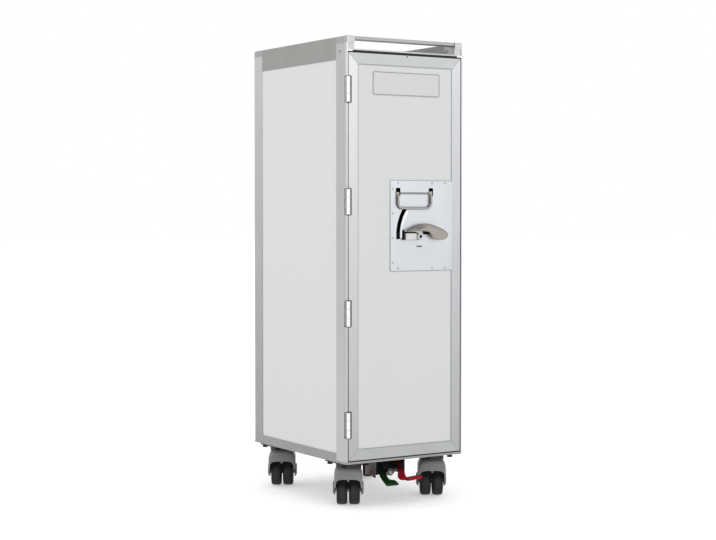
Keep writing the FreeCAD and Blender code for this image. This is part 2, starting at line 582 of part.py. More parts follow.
node(group("PostLeaves", post_leaves), "hinge_post_leaves")
node(group("DoorLeaves", door_leaves), "hinge_door_leaves")
node(group("HingePins", pins), "hinge_pins")

# Latch plate, housing, seal block, card plate and rivets
SKIN = (f"({FACE} - plate_thickness)", FACE)
blank = block("LatchBlank", PLATE_X, SKIN, PLATE_Z)
BAIL_X = (f"({PLATE_X[0]} + bail_inset)", f"({PLATE_X[0]} + bail_inset + bail_width)")
BAIL_Z = f"({PLATE_Z[0]} + bail_up)"
BAIL_Y = f"({FRONT} + bail_sunk)"
WIRE_Y = f"({SKIN[0]} - bail_standoff - bail_wire)"
slots = []
for i, x in enumerate(BAIL_X):
    middle = f"{x} + slot_shift"
    slots.append(block(f"BailSlot{i}", (f"{middle} - bail_slot / 2", f"{middle} + bail_slot / 2"), SKIN,
                       (f"{BAIL_Z} - slot_margin", f"{BAIL_Z} + ({BAIL_Y} - {WIRE_Y}) + slot_margin")))
slots.append(rod("SpindleHole", "Y", "spindle_radius + bolt_fit", (LEVER_X, SKIN[0], LEVER_Z),
                 "plate_thickness"))
outer = rod("GuideOuter", "Y", f"{GUIDE} + guide_slot", ("0", "0", "0"), "plate_thickness")
inner_arc = rod("GuideInner", "Y", f"{GUIDE} - guide_slot", ("0", "0", "0"), "plate_thickness")
span = "lever_lift + 2 * guide_rest"
bind(outer, Angle=span)
bind(inner_arc, Angle=span)
arc = cut("GuideArc", outer, inner_arc)
place(arc, LEVER_X, SKIN[0], LEVER_Z, (0, 1, 0), "180 - guide_rest")
slots.append(arc)
node(cut("LatchPlate", blank, *slots), "latch_plate")

shell = block("HousingShell", BOX_X, (FACE, f"{FACE} + housing_depth"), BOX_Z)
hollow = block("HousingHollow", (f"{BOX_X[0]} + housing_wall", f"{BOX_X[1]} - housing_wall"),
               (FACE, f"{FACE} + housing_depth - housing_wall"),
               (f"{BOX_Z[0]} + housing_wall", f"{BOX_Z[1]} - housing_wall"))
window = block("HousingWindow", (f"{BOX_X[1]} - housing_wall", BOX_X[1]), keep_y, keep_z)
tray = cut("HousingTray", shell, hollow, window)
lugs, journals = [], []
for i, (x, way) in enumerate(((BAIL_X[0], "-1"), (BAIL_X[1], "1"))):
    inside = f"{x} + {way} * (bail_bend + 1)"
    outside = f"{x} + {way} * (bail_bend + 1 + lug_width)"
    span = (outside, inside) if way == "-1" else (inside, outside)
    lugs.append(block(f"BailLug{i}", span, (f"{BAIL_Y} - lug_size / 2", f"{FACE} + housing_depth"),
                      (f"{BAIL_Z} - lug_size / 2", f"{BAIL_Z} + lug_size / 2")))
    journals.append(rod(f"LugBore{i}", "X", "bail_wire + journal_fit", (span[0], BAIL_Y, BAIL_Z),
                        "lug_width"))
node(cut("LatchHousing", fuse("HousingBlank", tray, *lugs), *journals), "latch_housing")

SEAL_X = (f"({PLATE_X[0]} + seal_inset)", f"({PLATE_X[0]} + seal_inset + seal_length)")
SEAL_Z = (f"({PLATE_Z[0]} + seal_up)", f"({PLATE_Z[0]} + seal_up + seal_height)")
EYELET_X = f"({PLATE_X[0]} + eyelet_inset)"
EYELET_Z = f"({PLATE_Z[0]} + eyelet_up)"
chunk = block("SealChunk", SEAL_X, (f"{SKIN[0]} - seal_depth", SKIN[0]), SEAL_Z)
eyelet = rod("Eyelet", "Y", "eyelet_radius", (EYELET_X, f"{SKIN[0]} - eyelet_depth", EYELET_Z),
             "eyelet_depth")
bridge = block("EyeletBridge", (SEAL_X[1], EYELET_X), (f"{SKIN[0]} - seal_depth", SKIN[0]),
               (f"{EYELET_Z} - eyelet_radius / 2", f"{EYELET_Z} + eyelet_radius / 2"))
eye = rod("EyeletBore", "Y", "eyelet_bore", (EYELET_X, f"{SKIN[0]} - eyelet_depth", EYELET_Z),
          "eyelet_depth")
node(cut("SealBlock", fuse("SealBlank", chunk, bridge, eyelet), eye), "seal_block")

card = body("CardPlate")
CARD_X = (f"{SIGHT_X[0]} + card_inset", f"{SIGHT_X[0]} + card_inset + card_width")
CARD_Z = (f"{SIGHT_Z[1]} - card_drop - card_height", f"{SIGHT_Z[1]} - card_drop")
outline(sketch(card, "XZ_Plane", f"-({FACE})"),
        [(CARD_X[0], CARD_Z[0]), (CARD_X[1], CARD_Z[0]), (CARD_X[1], CARD_Z[1]), (CARD_X[0], CARD_Z[1])])
pad(card, card.Group[-1], "card_thickness")
soften(card, "card_corner", lambda e: runs(e, (0, 1, 0)))
node(card, "card_plate")

rivets = []
top_row = f"{PLATE_Z[1]} - rivet_margin"
low_row = f"{PLATE_Z[0]} + rivet_margin"
left_row = f"{PLATE_X[0]} + rivet_margin"
rivet_pitch = "(plate_height - 2 * rivet_first) / (rivet_count - 1)"
spots = [(left_row, f"{PLATE_Z[0]} + rivet_first + {i} * {rivet_pitch}")
         for i in range(int(value("rivet_count")))]
for share in ("rivet_near", "rivet_mid", "rivet_far"):
    x = f"{PLATE_X[0]} + {share} * plate_width"
    spots.extend([(x, top_row), (x, low_row)])
for i, (x, z) in enumerate(spots):
    rivets.append(rod(f"Rivet{i}", "Y", "rivet_radius", (x, f"{SKIN[0]} - rivet_head", z), "rivet_head"))
node(group("LatchRivets", rivets), "latch_rivets")

# Bail handle, bent from one wire


def bent_wire(points, bend, radius):
    """Sweep a round wire along a path of straight legs with rounded bends."""
    edges = []
    here = points[0]
    for before, corner, after in zip(points, points[1:], points[2:]):
        one = (before - corner).normalize()
        two = (after - corner).normalize()
        start = corner + one * bend
        end = corner + two * bend
        heart = corner + (one + two) * bend
        crown = heart - (one + two).normalize() * bend
        if (start - here).Length > 1e-6:
            edges.append(Part.LineSegment(here, start).toShape())
        edges.append(Part.Arc(start, crown, end).toShape())
        here = end
    edges.append(Part.LineSegment(here, points[-1]).toShape())
    path = Part.Wire(edges)
    way = points[1] - points[0]
    hoop = Part.Wire(Part.makeCircle(radius, points[0], way))
    return path.makePipeShell([hoop], True, True)


ends = (f"{BAIL_X[0]} - bail_bend - bail_journal", f"{BAIL_X[1]} + bail_bend + bail_journal")
stations = [(ends[0], BAIL_Y, BAIL_Z), (BAIL_X[0], BAIL_Y, BAIL_Z),
            (BAIL_X[0], WIRE_Y, BAIL_Z), (BAIL_X[0], WIRE_Y, f"{BAIL_Z} - bail_drop"),
            (BAIL_X[1], WIRE_Y, f"{BAIL_Z} - bail_drop"), (BAIL_X[1], WIRE_Y, BAIL_Z),
            (BAIL_X[1], BAIL_Y, BAIL_Z), (ends[1], BAIL_Y, BAIL_Z)]
bail = doc.addObject("Part::Feature", "Bail")
bail.Shape = bent_wire([FreeCAD.Vector(*[value(c) for c in spot]) for spot in stations], value("bail_bend"),
                       value("bail_wire"))
node(bail, "bail_handle")

# Latch lever, crank and bolt
LEVER_Y = f"({FRONT} - front_proud)"
lever = body("Lever")
shape = [("-lever_reach", "lever_tail"), ("-lever_reach", "lever_tail + lever_tip"),
         ("-lever_apex - 2 * lever_crown", "lever_rise * 0.75"),
         ("-lever_apex - lever_crown", "lever_rise * 0.92"), ("-lever_apex", "lever_rise"),
         ("-lever_apex + lever_crown", "lever_rise * 0.85"), ("0", "lever_rise * 0.42"),
         ("lever_grip * 0.72", "lever_rise * 0.2"), ("lever_grip", "-lever_drop * 0.15"),
         ("lever_grip * 0.8", "-lever_drop * 0.65"), ("lever_grip * 0.12", "-lever_drop"),
         ("-lever_apex * 0.26", "-lever_drop * 0.75"), ("-lever_apex * 0.49", "-lever_drop * 0.31"),
         ("-lever_apex * 0.71", "lever_rise * 0.14"), ("-lever_apex * 1.2", "lever_tail")]
outline(sketch(lever, "XZ_Plane", f"-({LEVER_Y})"),
        [(f"{LEVER_X} + ({a})", f"{LEVER_Z} + ({b})") for a, b in shape])
pad(lever, lever.Group[-1], "lever_thickness", back=True)
soften(lever, "lever_corner", lambda e: near(e.BoundBox.YMin, LEVER_Y) and near(e.BoundBox.YMax, LEVER_Y))
boss = sketch(lever, "XZ_Plane", f"-({LEVER_Y} + lever_thickness)")
ring(boss, LEVER_X, LEVER_Z, "lever_hub")
pad(lever, boss, f"{SKIN[0]} - lever_gap - ({LEVER_Y} + lever_thickness)", back=True)
eye = sketch(lever, "XZ_Plane", f"-({LEVER_Y} + lever_thickness / 2)")
ring(eye, LEVER_X, LEVER_Z, "spindle_radius + spindle_fit")
pocket(lever, eye, "front_proud")
node(lever, "latch_lever")

QUAD_Y = (f"({FACE} + housing_wall)", f"({FACE} + housing_wall + crank_plate)")
spindle = rod("Spindle", "Y", "spindle_radius", ("0", f"{LEVER_Y} + lever_thickness / 2 + 0.2", "0"),
              f"{QUAD_Y[1]} - ({LEVER_Y} + lever_thickness / 2 + 0.2)")
arm = block("QuadArm", (f"-{GUIDE}", "0"), QUAD_Y, ("-crank_width / 2", "crank_width / 2"))
hub = rod("QuadHub", "Y", "crank_radius + crank_pin + 1", ("0", QUAD_Y[0], "0"), "crank_plate")
knob = rod("QuadEnd", "Y", "crank_width / 2", (f"-{GUIDE}", QUAD_Y[0], "0"), "crank_plate")
guide = rod("GuidePin", "Y", "guide_pin", (f"-{GUIDE}", SKIN[0], "0"), f"{QUAD_Y[1]} - {SKIN[0]}")
swing = "(lever_lift / 2 * 1deg)"
drive = rod("CrankPin", "Y", "crank_pin", (f"-crank_radius * sin({swing})", QUAD_Y[0],
                                           f"crank_radius * cos({swing})"),
            f"{BOLT_Y[1]} - {QUAD_Y[0]}")
crank = fuse("Crank", spindle, arm, hub, knob, guide, drive)
place(crank, LEVER_X, "0", LEVER_Z)
node(crank, "latch_crank")

BOLT_X = (f"{DOOR_X[1]} - bolt_shy - bolt_length", f"{DOOR_X[1]} - bolt_shy")
bar = block("BoltBar", BOLT_X, BOLT_Y, (f"{LATCH_Z} - bolt_height / 2", f"{LATCH_Z} + bolt_height / 2"))
yoke = f"({LEVER_X} - crank_radius * sin({swing}))"
slot = block("BoltSlot", (f"{yoke} - crank_pin - crank_fit", f"{yoke} + crank_pin + crank_fit"), BOLT_Y,
             (f"{LATCH_Z} - crank_pin - crank_fit", f"{LATCH_Z} + bolt_height / 2"))
node(cut("LatchBolt", bar, slot), "latch_bolt")

# Brake shaft, pedals, rocker, bracket and plungers
shaft = rod("Shaft", "X", "shaft_radius", ("-shaft_reach", SHAFT_Y, SHAFT_Z), "2 * shaft_reach")
PLUNGER_TOP = f"({SHAFT_Z} - shaft_radius / 2 - finger_gap)"
fingers = []
for i, sign in enumerate((LEFT, RIGHT)):
    x = f"{sign} * caster_x"
    fingers.append(block(f"Finger{i}", (f"{x} - finger_width / 2", f"{x} + finger_width / 2"),
                         (f"{SHAFT_Y} - finger_reach - finger_tip", SHAFT_Y),
                         (f"{PLUNGER_TOP} + finger_gap", f"{PLUNGER_TOP} + finger_gap + finger_thickness")))
node(fuse("BrakeShaft", shaft, *fingers), "brake_shaft")

blocks = []
for i, sign in enumerate((LEFT, RIGHT)):
    x = f"{sign} * bearing_x"
    lump = block(f"Bearing{i}", (f"{x} - bearing_width / 2", f"{x} + bearing_width / 2"),
                 (f"{SHAFT_Y} - bearing_size / 2", f"{SHAFT_Y} + bearing_size / 2"),
                 (BASE, f"{BASE} + bearing_size"))
    hole = rod(f"BearingBore{i}", "X", "shaft_radius + shaft_fit",
               (f"{x} - bearing_width / 2", SHAFT_Y, SHAFT_Z), "bearing_width")
    blocks.append(cut(f"ShaftBearing{i}", lump, hole))
node(group("ShaftBearings", blocks), "shaft_bearings")


def pedal(name, arm_x, tread_x, angle, label):
    """Build a pedal: a hub on the shaft, a strip arm that falls forward and a wide tread."""
    half = "pedal_strip / 2"
    arm = body(name + "Arm")
    outline(sketch(arm, "YZ_Plane", arm_x), [
        ("pedal_hub * 0.7", f"-{half}"), ("-pedal_hub * 0.9", f"-{half}"),
        ("-arm_back", f"-arm_fall + {half}"),
        ("-tread_back", f"-tread_fall + {half}"), ("-tread_back - 2", f"-tread_fall - {half}"),
        ("-tread_back + 2", f"-tread_fall - {half}"), ("-arm_back + 3", f"-arm_fall - {half}"),
        ("pedal_hub * 0.7", "-pedal_hub")])
    pad(arm, arm.Group[-1], "arm_width", middle=True)
    tread = body(name + "Tread")
    outline(sketch(tread, "YZ_Plane", tread_x[0]), [
        ("-tread_back + 1", f"-tread_fall - {half}"), ("-tread_back + 1", f"-tread_fall + {half}"),
        ("-tread_back - tread_length + 4", f"-tread_fall + {half} - tread_tip"),
        ("-tread_back - tread_length", f"-tread_fall - {half} - tread_tip - 3"),
        ("-tread_back - tread_length + 3", f"-tread_fall - {half} - tread_tip - 3"),
        ("-tread_back - tread_length + 5", f"-tread_fall - {half} - tread_tip")])
    pad(tread, tread.Group[-1], f"{tread_x[1]} - ({tread_x[0]})")
    hub = rod(name + "Hub", "X", "pedal_hub", (f"{arm_x} - arm_width / 2", "0", "0"), "arm_width")
    hole = rod(name + "Bore", "X", "shaft_radius + shaft_fit", (f"{arm_x} - arm_width / 2", "0", "0"),
               "arm_width")
    whole = cut(name, fuse(name + "Blank", arm, tread, hub), hole)
    place(whole, "0", SHAFT_Y, SHAFT_Z, (1, 0, 0), angle)
    return node(whole, label)


pedal("RedPedal", "red_x", ("red_left", "red_left + red_width"), "0", "red_pedal")
pedal("GreenPedal", "-green_x", ("-green_x - green_width / 2", "-green_x + green_width / 2"), "pedal_travel",
      "green_pedal")

HALF = "((red_x + green_x) / 2)"
ROCKER_X = "((red_x - green_x) / 2)"
ROCKER_Z = f"({SHAFT_Z} - rocker_drop)"
beam = block("RockerBeam", (f"-{HALF}", HALF),
             (f"{SHAFT_Y} - rocker_y", f"{SHAFT_Y} - rocker_y + rocker_plate"),
             ("-rocker_height / 2", "rocker_height / 2"))
noses = []
for i, x in enumerate((f"-{HALF}", HALF)):
    noses.append(rod(f"Nose{i}", "Y", "rocker_nose", (x, f"{SHAFT_Y} - rocker_y", "0"), "rocker_plate"))
ring_hub = rod("RockerHub", "Y", "rocker_hub", ("0", f"{SHAFT_Y} - rocker_y", "0"), "rocker_plate")
eye = rod("RockerBore", "Y", "rocker_pin + shaft_fit", ("0", f"{SHAFT_Y} - rocker_y", "0"), "rocker_plate")
rocker = cut("Rocker", fuse("RockerBlank", beam, ring_hub, *noses), eye)
place(rocker, ROCKER_X, "0", ROCKER_Z, (0, -1, 0), "rocker_tilt")
node(rocker, "pedal_rocker")

CHEEK_Y = (f"{SHAFT_Y} - bracket_front", f"{SHAFT_Y} + bracket_back + bracket_sheet")
BACK_Y = (f"{SHAFT_Y} + bracket_back", CHEEK_Y[1])
CHEEK_Z = ("base_height - bracket_cheek", "base_height")
bracket_parts = [
    block("BracketBack", ("-bracket_left", "bracket_right"), BACK_Y,
          ("base_height - bracket_drop", "base_height")),
    block("BracketLeft", ("-bracket_left", "bracket_sheet - bracket_left"), CHEEK_Y, CHEEK_Z),
    block("BracketRight", ("bracket_right - bracket_sheet", "bracket_right"), CHEEK_Y, CHEEK_Z),
    rod("RockerPin", "Y", "rocker_pin", (ROCKER_X, f"{SHAFT_Y} - rocker_y - 1", ROCKER_Z),
        "bracket_back + rocker_y + 1"),
]
node(fuse("BrakeBracket", *bracket_parts), "brake_bracket")

plungers = []
FOOT = f"(2 * {WHEEL})"
for name, x, y in CORNERS[:2]:
    stem = rod("Stem_" + name, "Z", "plunger_radius", (x, y, FOOT), f"{PLUNGER_TOP} - {FOOT}")
    foot = rod("Foot_" + name, "Z", "foot_radius", (x, y, FOOT), "foot_thickness")
    plungers.append(fuse("Plunger_" + name, stem, foot))
node(group("Plungers", plungers), "brake_plungers")

# Casters
plates, bolts = [], []
for name, x, y in CORNERS:
    spread = [f"{x} - plate_size / 2", f"{x} + plate_size / 2"]
    depth = [f"{y} - plate_size / 2", f"{y} + plate_size / 2"]
    low = "base_height - plate_sheet"
    square = block("Square_" + name, spread, depth, (low, "base_height"))
    race = rod("Race_" + name, "Z", "race_radius", (x, y, f"{HOOD_TOP} + race_gap"),
               f"{low} - {HOOD_TOP} - race_gap")
    bore = rod("RaceBore_" + name, "Z", "kingpin_radius + kingpin_fit", (x, y, HOOD_TOP),
               f"base_height - {HOOD_TOP}")
    plates.append(cut("Plate_" + name, fuse("PlateBlank_" + name, square, race), bore))
    for i in (LEFT, RIGHT):
        for j in (LEFT, RIGHT):
            spot = (f"{x} + {i} * bolt_spacing / 2", f"{y} + {j} * bolt_spacing / 2",
                    f"{low} - head_thickness")
            bolts.append(rod("Bolt_" + name, "Z", "bolt_head", spot, "head_thickness"))
node(group("CasterPlates", plates), "caster_plates")
node(group("CasterBolts", bolts), "caster_bolts")


def wheel(name, offset):
    """Build one wheel of a twin caster."""
    thing = body(name)
    ring(sketch(thing, "YZ_Plane", offset), "caster_trail", WHEEL, WHEEL)
    pad(thing, thing.Group[-1], "wheel_width")
    soften(thing, "tread_corner", lambda e: isinstance(e.Curve, Part.Circle))
    eye = sketch(thing, "YZ_Plane", offset)
    ring(eye, "caster_trail", WHEEL, "axle_radius + axle_fit")
    pocket(thing, eye, "wheel_width", back=True)
    return thing


def fork(name):
    """Build a caster fork: a hood over the wheels, two legs to the axle and a hollow kingpin."""
    thing = body(name)
    outline(sketch(thing, "YZ_Plane"), [
        ("-hood_front", SKIRT), ("-hood_front", HOOD_TOP), ("caster_trail + hood_flat", HOOD_TOP),
        ("caster_trail + hood_back", f"{HOOD_TOP} - hood_slope"), ("caster_trail + hood_back", SKIRT),
        ("caster_trail + leg_half", WHEEL), ("caster_trail + leg_half * 0.6", f"{WHEEL} - leg_below"),
        ("caster_trail - leg_half * 0.6", f"{WHEEL} - leg_below"), ("caster_trail - leg_half", WHEEL),
        ("-hood_front * 0.3", SKIRT)])
    pad(thing, thing.Group[-1], "hood_width", middle=True)
    top = value(HOOD_TOP)
    soften(thing, "hood_corner", lambda e: abs(e.BoundBox.ZMax - top) < 0.01
           and (runs(e, (0, 1, 0)) or abs(e.BoundBox.YMax + value("hood_front")) < 0.01))
    hollow = sketch(thing, "YZ_Plane")
    outline(hollow, [
        ("hood_wall - hood_front", "0"), ("hood_wall - hood_front", f"{HOOD_TOP} - hood_roof - roof_slope"),
        ("hood_wall - hood_front + roof_slope", f"{HOOD_TOP} - hood_roof"),
        ("caster_trail + hood_flat / 2", f"{HOOD_TOP} - hood_roof"),
        ("caster_trail + hood_back * 2", SKIRT), ("caster_trail + hood_back * 2", "0")])
    pocket(thing, hollow, "hood_width - 2 * hood_wall", middle=True)
    boss = sketch(thing, "XY_Plane", f"{HOOD_TOP} - hood_roof / 6")
    ring(boss, "0", "0", "kingpin_radius")
    pad(thing, boss, f"base_height - plate_sheet - {HOOD_TOP} + hood_roof / 3")
    for way, side in (("-1", True), ("1", False)):
        ear = sketch(thing, "YZ_Plane", f"{way} * (hood_width / 2 - 1)")
        ring(ear, "caster_trail", WHEEL, "boss_radius")
        pad(thing, ear, "boss_proud + 1", back=side)
    eye = sketch(thing, "YZ_Plane")
    ring(eye, "caster_trail", WHEEL, "axle_radius + axle_fit")
    pocket(thing, eye, "hood_width * 2", middle=True)
    bore = sketch(thing, "XY_Plane", "base_height")
    ring(bore, "0", "0", "plunger_radius + plunger_fit")
    pocket(thing, bore, f"base_height - {HOOD_TOP} + hood_roof + hood_wall")
    return thing


for name, x, y in CORNERS:
    turned = (x, y, "0", (0, 0, -1), "caster_turn")
    node(place(fork("Fork_" + name), *turned), name + "_fork")
    pair = group("Wheels_" + name, [wheel("WheelA_" + name, "-wheel_gap / 2 - wheel_width"),
                                    wheel("WheelB_" + name, "wheel_gap / 2")])
    node(place(pair, *turned), name + "_wheels")
    start = ("-hood_width / 2 - boss_proud", "caster_trail", WHEEL)
    pin = rod("Pin_" + name, "X", "axle_radius", start, "hood_width + 2 * boss_proud")
    node(place(group("Axle_" + name, [pin]), *turned), name + "_axle")

doc.recompute()
for thing in doc.Objects:
    if any(flag in ("Invalid", "Error") for flag in thing.State):
        raise RuntimeError("%s: %s" % (thing.Label, thing.State))
for thing in nodes:
    if thing.Shape.isNull() or not thing.Shape.isValid():
        raise RuntimeError("bad shape: " + thing.Label)
    thing.Shape.exportStep(os.path.join("parts", thing.Label + ".step"))
    print(thing.Label, len(thing.Shape.Solids), round(thing.Shape.Volume / 1000, 1))
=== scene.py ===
import json
import logging
import math
from dataclasses import dataclass
from enum import Enum
from typing import Callable, Iterable, Self, Sequence

import bmesh
import bpy
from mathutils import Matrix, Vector


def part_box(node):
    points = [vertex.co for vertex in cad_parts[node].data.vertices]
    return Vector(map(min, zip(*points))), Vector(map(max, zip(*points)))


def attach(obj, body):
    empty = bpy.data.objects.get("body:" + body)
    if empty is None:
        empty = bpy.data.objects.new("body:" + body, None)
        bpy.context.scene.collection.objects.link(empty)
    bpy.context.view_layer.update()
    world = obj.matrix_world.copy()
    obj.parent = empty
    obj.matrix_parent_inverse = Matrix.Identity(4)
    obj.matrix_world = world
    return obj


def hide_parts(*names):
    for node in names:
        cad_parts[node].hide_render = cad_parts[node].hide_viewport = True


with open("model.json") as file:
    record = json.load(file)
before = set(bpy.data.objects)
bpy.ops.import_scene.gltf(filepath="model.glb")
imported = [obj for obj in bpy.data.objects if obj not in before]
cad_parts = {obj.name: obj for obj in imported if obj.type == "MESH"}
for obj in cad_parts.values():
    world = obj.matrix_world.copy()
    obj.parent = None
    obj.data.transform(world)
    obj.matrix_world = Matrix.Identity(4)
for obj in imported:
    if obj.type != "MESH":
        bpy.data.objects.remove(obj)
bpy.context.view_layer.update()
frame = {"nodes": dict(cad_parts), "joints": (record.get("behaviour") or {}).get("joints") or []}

LOG = logging.getLogger("trolley")
MM = 0.001
TO_FRONT, TO_BACK, TO_RIGHT, UP = (0, -1, 0), (0, 1, 0), (1, 0, 0), (0, 0, 1)
WHITE = (1, 1, 1, 1)

# the rounding of edges in the finishes, and the heights between which their tones run
EDGE = 0.8 * MM
HEIGHTS = (0.11, 0.98)

Colour = tuple[float, float, float]
Point = Sequence[float]
Sizes = tuple[float, ...]
Table = tuple[Sizes, ...]
Socket = bpy.types.NodeSocket
Lift = Callable[[float, float, float], Point]


class Grain(Enum):
    """The way that a brushed or rolled surface runs, as its fineness along X, Y and Z."""

    ACROSS = (10.0, 900.0, 900.0)
    DEEP = (900.0, 10.0, 900.0)
    UPRIGHT = (900.0, 900.0, 10.0)
    NONE = (700.0, 700.0, 700.0)


class Hand(Enum):
    """The side of the trolley, as the sign of X."""

    LEFT = -1
    RIGHT = 1


class Row(Enum):
    """The end of the trolley that a caster is at."""

    FRONT = "front"
    REAR = "rear"


class Facing(Enum):
    """The faces that take another tone, which on metal is painted light and shade: an aspect, where the tone
    starts and where it is full.
    """

    FRONT = (("Y", -0.7, -0.95),)
    UNDER = (("Z", -0.7, -0.95),)
    RIGHT = (("X", 0.05, 0.25),)
    TURNED = (("Y", -0.97, -0.62),)
    RISING = (("Z", 0.12, 0.6),)
    FLANKS = (("Y", -0.1, 0.16), ("X", -0.12, 0.1))
    INWARD = (("inward", -0.08, -0.12),)
    AXLE = (("axle", 0.05, 0.6),)


def mm(*sizes: float) -> Sizes:
    """Turn millimetres into metres."""
    return tuple(size * MM for size in sizes)


def table(*rows: Sequence[float]) -> Table:
    """Turn rows of millimetres into metres."""
    return tuple(mm(*row) for row in rows)


def joint(name: str) -> dict:
    """Give a joint of the record by its name."""
    return next(entry for entry in frame["joints"] if entry["name"] == name)


def stand(name: str, data: bpy.types.ID) -> bpy.types.Object:
    """Stand new data in the scene as an object.

    Args:
        name: the object's name.
        data: its mesh, lamp or camera.

    Returns:
        The object.
    """
    thing = bpy.data.objects.new(name, data)
    bpy.context.scene.collection.objects.link(thing)
    return thing


def linear(colour: Colour) -> tuple[float, float, float, float]:
    """Turn a screen colour of 0 to 255 into a linear one.

    Args:
        colour: red, green and blue as a screen shows them.

    Returns:
        Linear red, green, blue and an alpha of 1.
    """
    parts = []
    for channel in colour:
        share = channel / 255.0
        parts.append(share / 12.92 if share <= 0.04045 else ((share + 0.055) / 1.055) ** 2.4)
    return (parts[0], parts[1], parts[2], 1.0)


class Shader:
    """The node tree of one material, built round a principled shader."""

    def __init__(self, name: str) -> None:
        """Start an empty material.

        Args:
            name: the material's name.
        """
        self.material = bpy.data.materials.new(name)
        self.material.use_nodes = True
        self.tree = self.material.node_tree
        self.tree.nodes.clear()
        self.skin = self.add("ShaderNodeBsdfPrincipled")
        self.add("ShaderNodeOutputMaterial", Surface=self.skin.outputs["BSDF"])
        coords = self.add("ShaderNodeTexCoord")
        self.place = coords.outputs["Object"]
        self.look = coords.outputs["Normal"]

    def feed(self, value: object, socket: Socket) -> None:
        """Link an output to an input, or set the input to a plain value.

        Args:
            value: the output or the plain value.
            socket: the input.
        """
        if isinstance(value, bpy.types.NodeSocket):
            self.tree.links.new(value, socket)
        else:
            socket.default_value = value

    def add(self, kind: str, *feeds: object, **settings: object) -> bpy.types.Node:
        """Add a node.

        Args:
            kind: the node's type.
            feeds: what its first inputs get, in order.
            settings: its properties, and by names with a capital its inputs, where _ stands for a space.

        Returns:
            The node.
        """
        node = self.tree.nodes.new(kind)
        for name, value in settings.items():
            if name[0].isupper():
                self.feed(value, node.inputs[name.replace("_", " ")])
            else:
                setattr(node, name, value)
        for value, socket in zip(feeds, node.inputs):
            self.feed(value, socket)
        return node

    def set(self, **values: object) -> None:
        """Feed the principled shader's own inputs; an underscore stands for a space."""
        for name, value in values.items():
            self.feed(value, self.skin.inputs[name.replace("_", " ")])

    def noise(self, scale: Sequence[float], detail: float, rough: float = 0.55) -> Socket:
        """Make a noise pattern in the part's own frame.

        Args:
            scale: how fine the pattern is along X, Y and Z, per metre.
            detail: the octaves.
            rough: how strong the finer octaves are.

        Returns:
            The pattern as a value of 0 to 1.
        """
        spread = self.add("ShaderNodeMapping", Vector=self.place, Scale=tuple(scale)).outputs["Vector"]
        node = self.add("ShaderNodeTexNoise", Vector=spread, Scale=1.0, Detail=detail, Roughness=rough)
        return node.outputs["Fac"]

    def span(self, value: Socket, source: Sequence[float], target: Sequence[float] = (0.0, 1.0)) -> Socket:
        """Map a value from one range to another.

        Args:
            value: the value.
            source: the range that it comes in.
            target: the range that it goes to.

        Returns:
            The mapped value.
        """
        node = self.add("ShaderNodeMapRange", Value=value, From_Min=source[0], From_Max=source[1],
                        To_Min=target[0], To_Max=target[1])
        return node.outputs["Result"]

    def sums(self, kind: str, one: Socket, two: Socket | float = 0.0) -> Socket:
        """Work out a sum of two values by the name of its operation."""
        return self.add("ShaderNodeMath", one, two, operation=kind).outputs["Value"]

    def part(self, vector: Socket, axis: str) -> Socket:
        """Give the part of a vector along X, Y or Z."""
        return self.add("ShaderNodeSeparateXYZ", vector).outputs[axis]

    def rise(self, low: float, high: float, heights: Sequence[float] = HEIGHTS) -> Socket:
        """Give a value that runs from one number to another between two heights."""
        return self.span(self.part(self.place, "Z"), heights, (low, high))

    def blend(self, share: Socket, one: object, two: object) -> Socket:
        """Mix two colours.

        Args:
            share: how much of the second shows.
            one: the first colour or socket.
            two: the second colour or socket.

        Returns:
            The mixed colour.
        """
        node = self.add("ShaderNodeMix", data_type="RGBA", Factor=share)
        first_colour, second_colour, mixed = 6, 7, 2
        self.feed(one, node.inputs[first_colour])
        self.feed(two, node.inputs[second_colour])
        return node.outputs[mixed]

    def scaled(self, colour: Socket, share: Socket) -> Socket:
        """Make a colour lighter or darker by a factor."""
        return self.add("ShaderNodeVectorMath", colour, operation="SCALE", Scale=share).outputs["Vector"]

    def turn(self, one: Socket, two: object) -> Socket:
        """Give the cosine of the angle between two directions."""
        return self.add("ShaderNodeVectorMath", one, two, operation="DOT_PRODUCT").outputs["Value"]

    def aspect(self, kind: str) -> Socket:
        """Tell how far a surface looks one way.

        Args:
            kind: X, Y or Z, axle for both ways along the wheels' axle, or inward, which is negative there.

        Returns:
            The share of its normal along that way.
        """
        if kind == "axle":
            return self.sums("ABSOLUTE", self.turn(self.look, tuple(joint("front_left_roll")["axis"])))
        if kind == "inward":
            return self.sums("MULTIPLY", self.part(self.look, "X"), self.part(self.place, "X"))
        return self.part(self.look, kind)

    def faces(self, way: Facing) -> Socket:
        """Give a value that is 1 on the faces that look one way."""
        found = [self.span(self.aspect(kind), (start, full)) for kind, start, full in way.value]
        return found[0] if len(found) == 1 else self.sums("MAXIMUM", *found)

    def soft_edge(self, radius: float) -> Socket:
        """Give a normal that rounds the edges of a surface."""
        return self.add("ShaderNodeBevel", samples=6, Radius=radius).outputs["Normal"]

    def edges(self, radius: float, share: Socket) -> Socket:
        """Find the patches of a surface's edges that hands and crates rub.

        Args:
            radius: how far from an edge the rubbing reaches.
            share: how much of an edge is rubbed.

        Returns:
            A value that rises to 1 at a rubbed edge.
        """
        flat = self.add("ShaderNodeNewGeometry").outputs["Normal"]
        return self.sums("MULTIPLY", self.span(self.turn(self.soft_edge(radius), flat), (0.99, 0.80)), share)

    def relief(self, height: Socket, depth: float) -> None:
        """Give the surface rounded edges and fine relief.

        Args:
            height: the pattern.
            depth: how deep it is, in metres.
        """
        soft = self.soft_edge(EDGE)
        bump = self.add("ShaderNodeBump", Strength=1.0, Distance=depth, Height=height, Normal=soft)
        self.set(Normal=bump.outputs["Normal"])


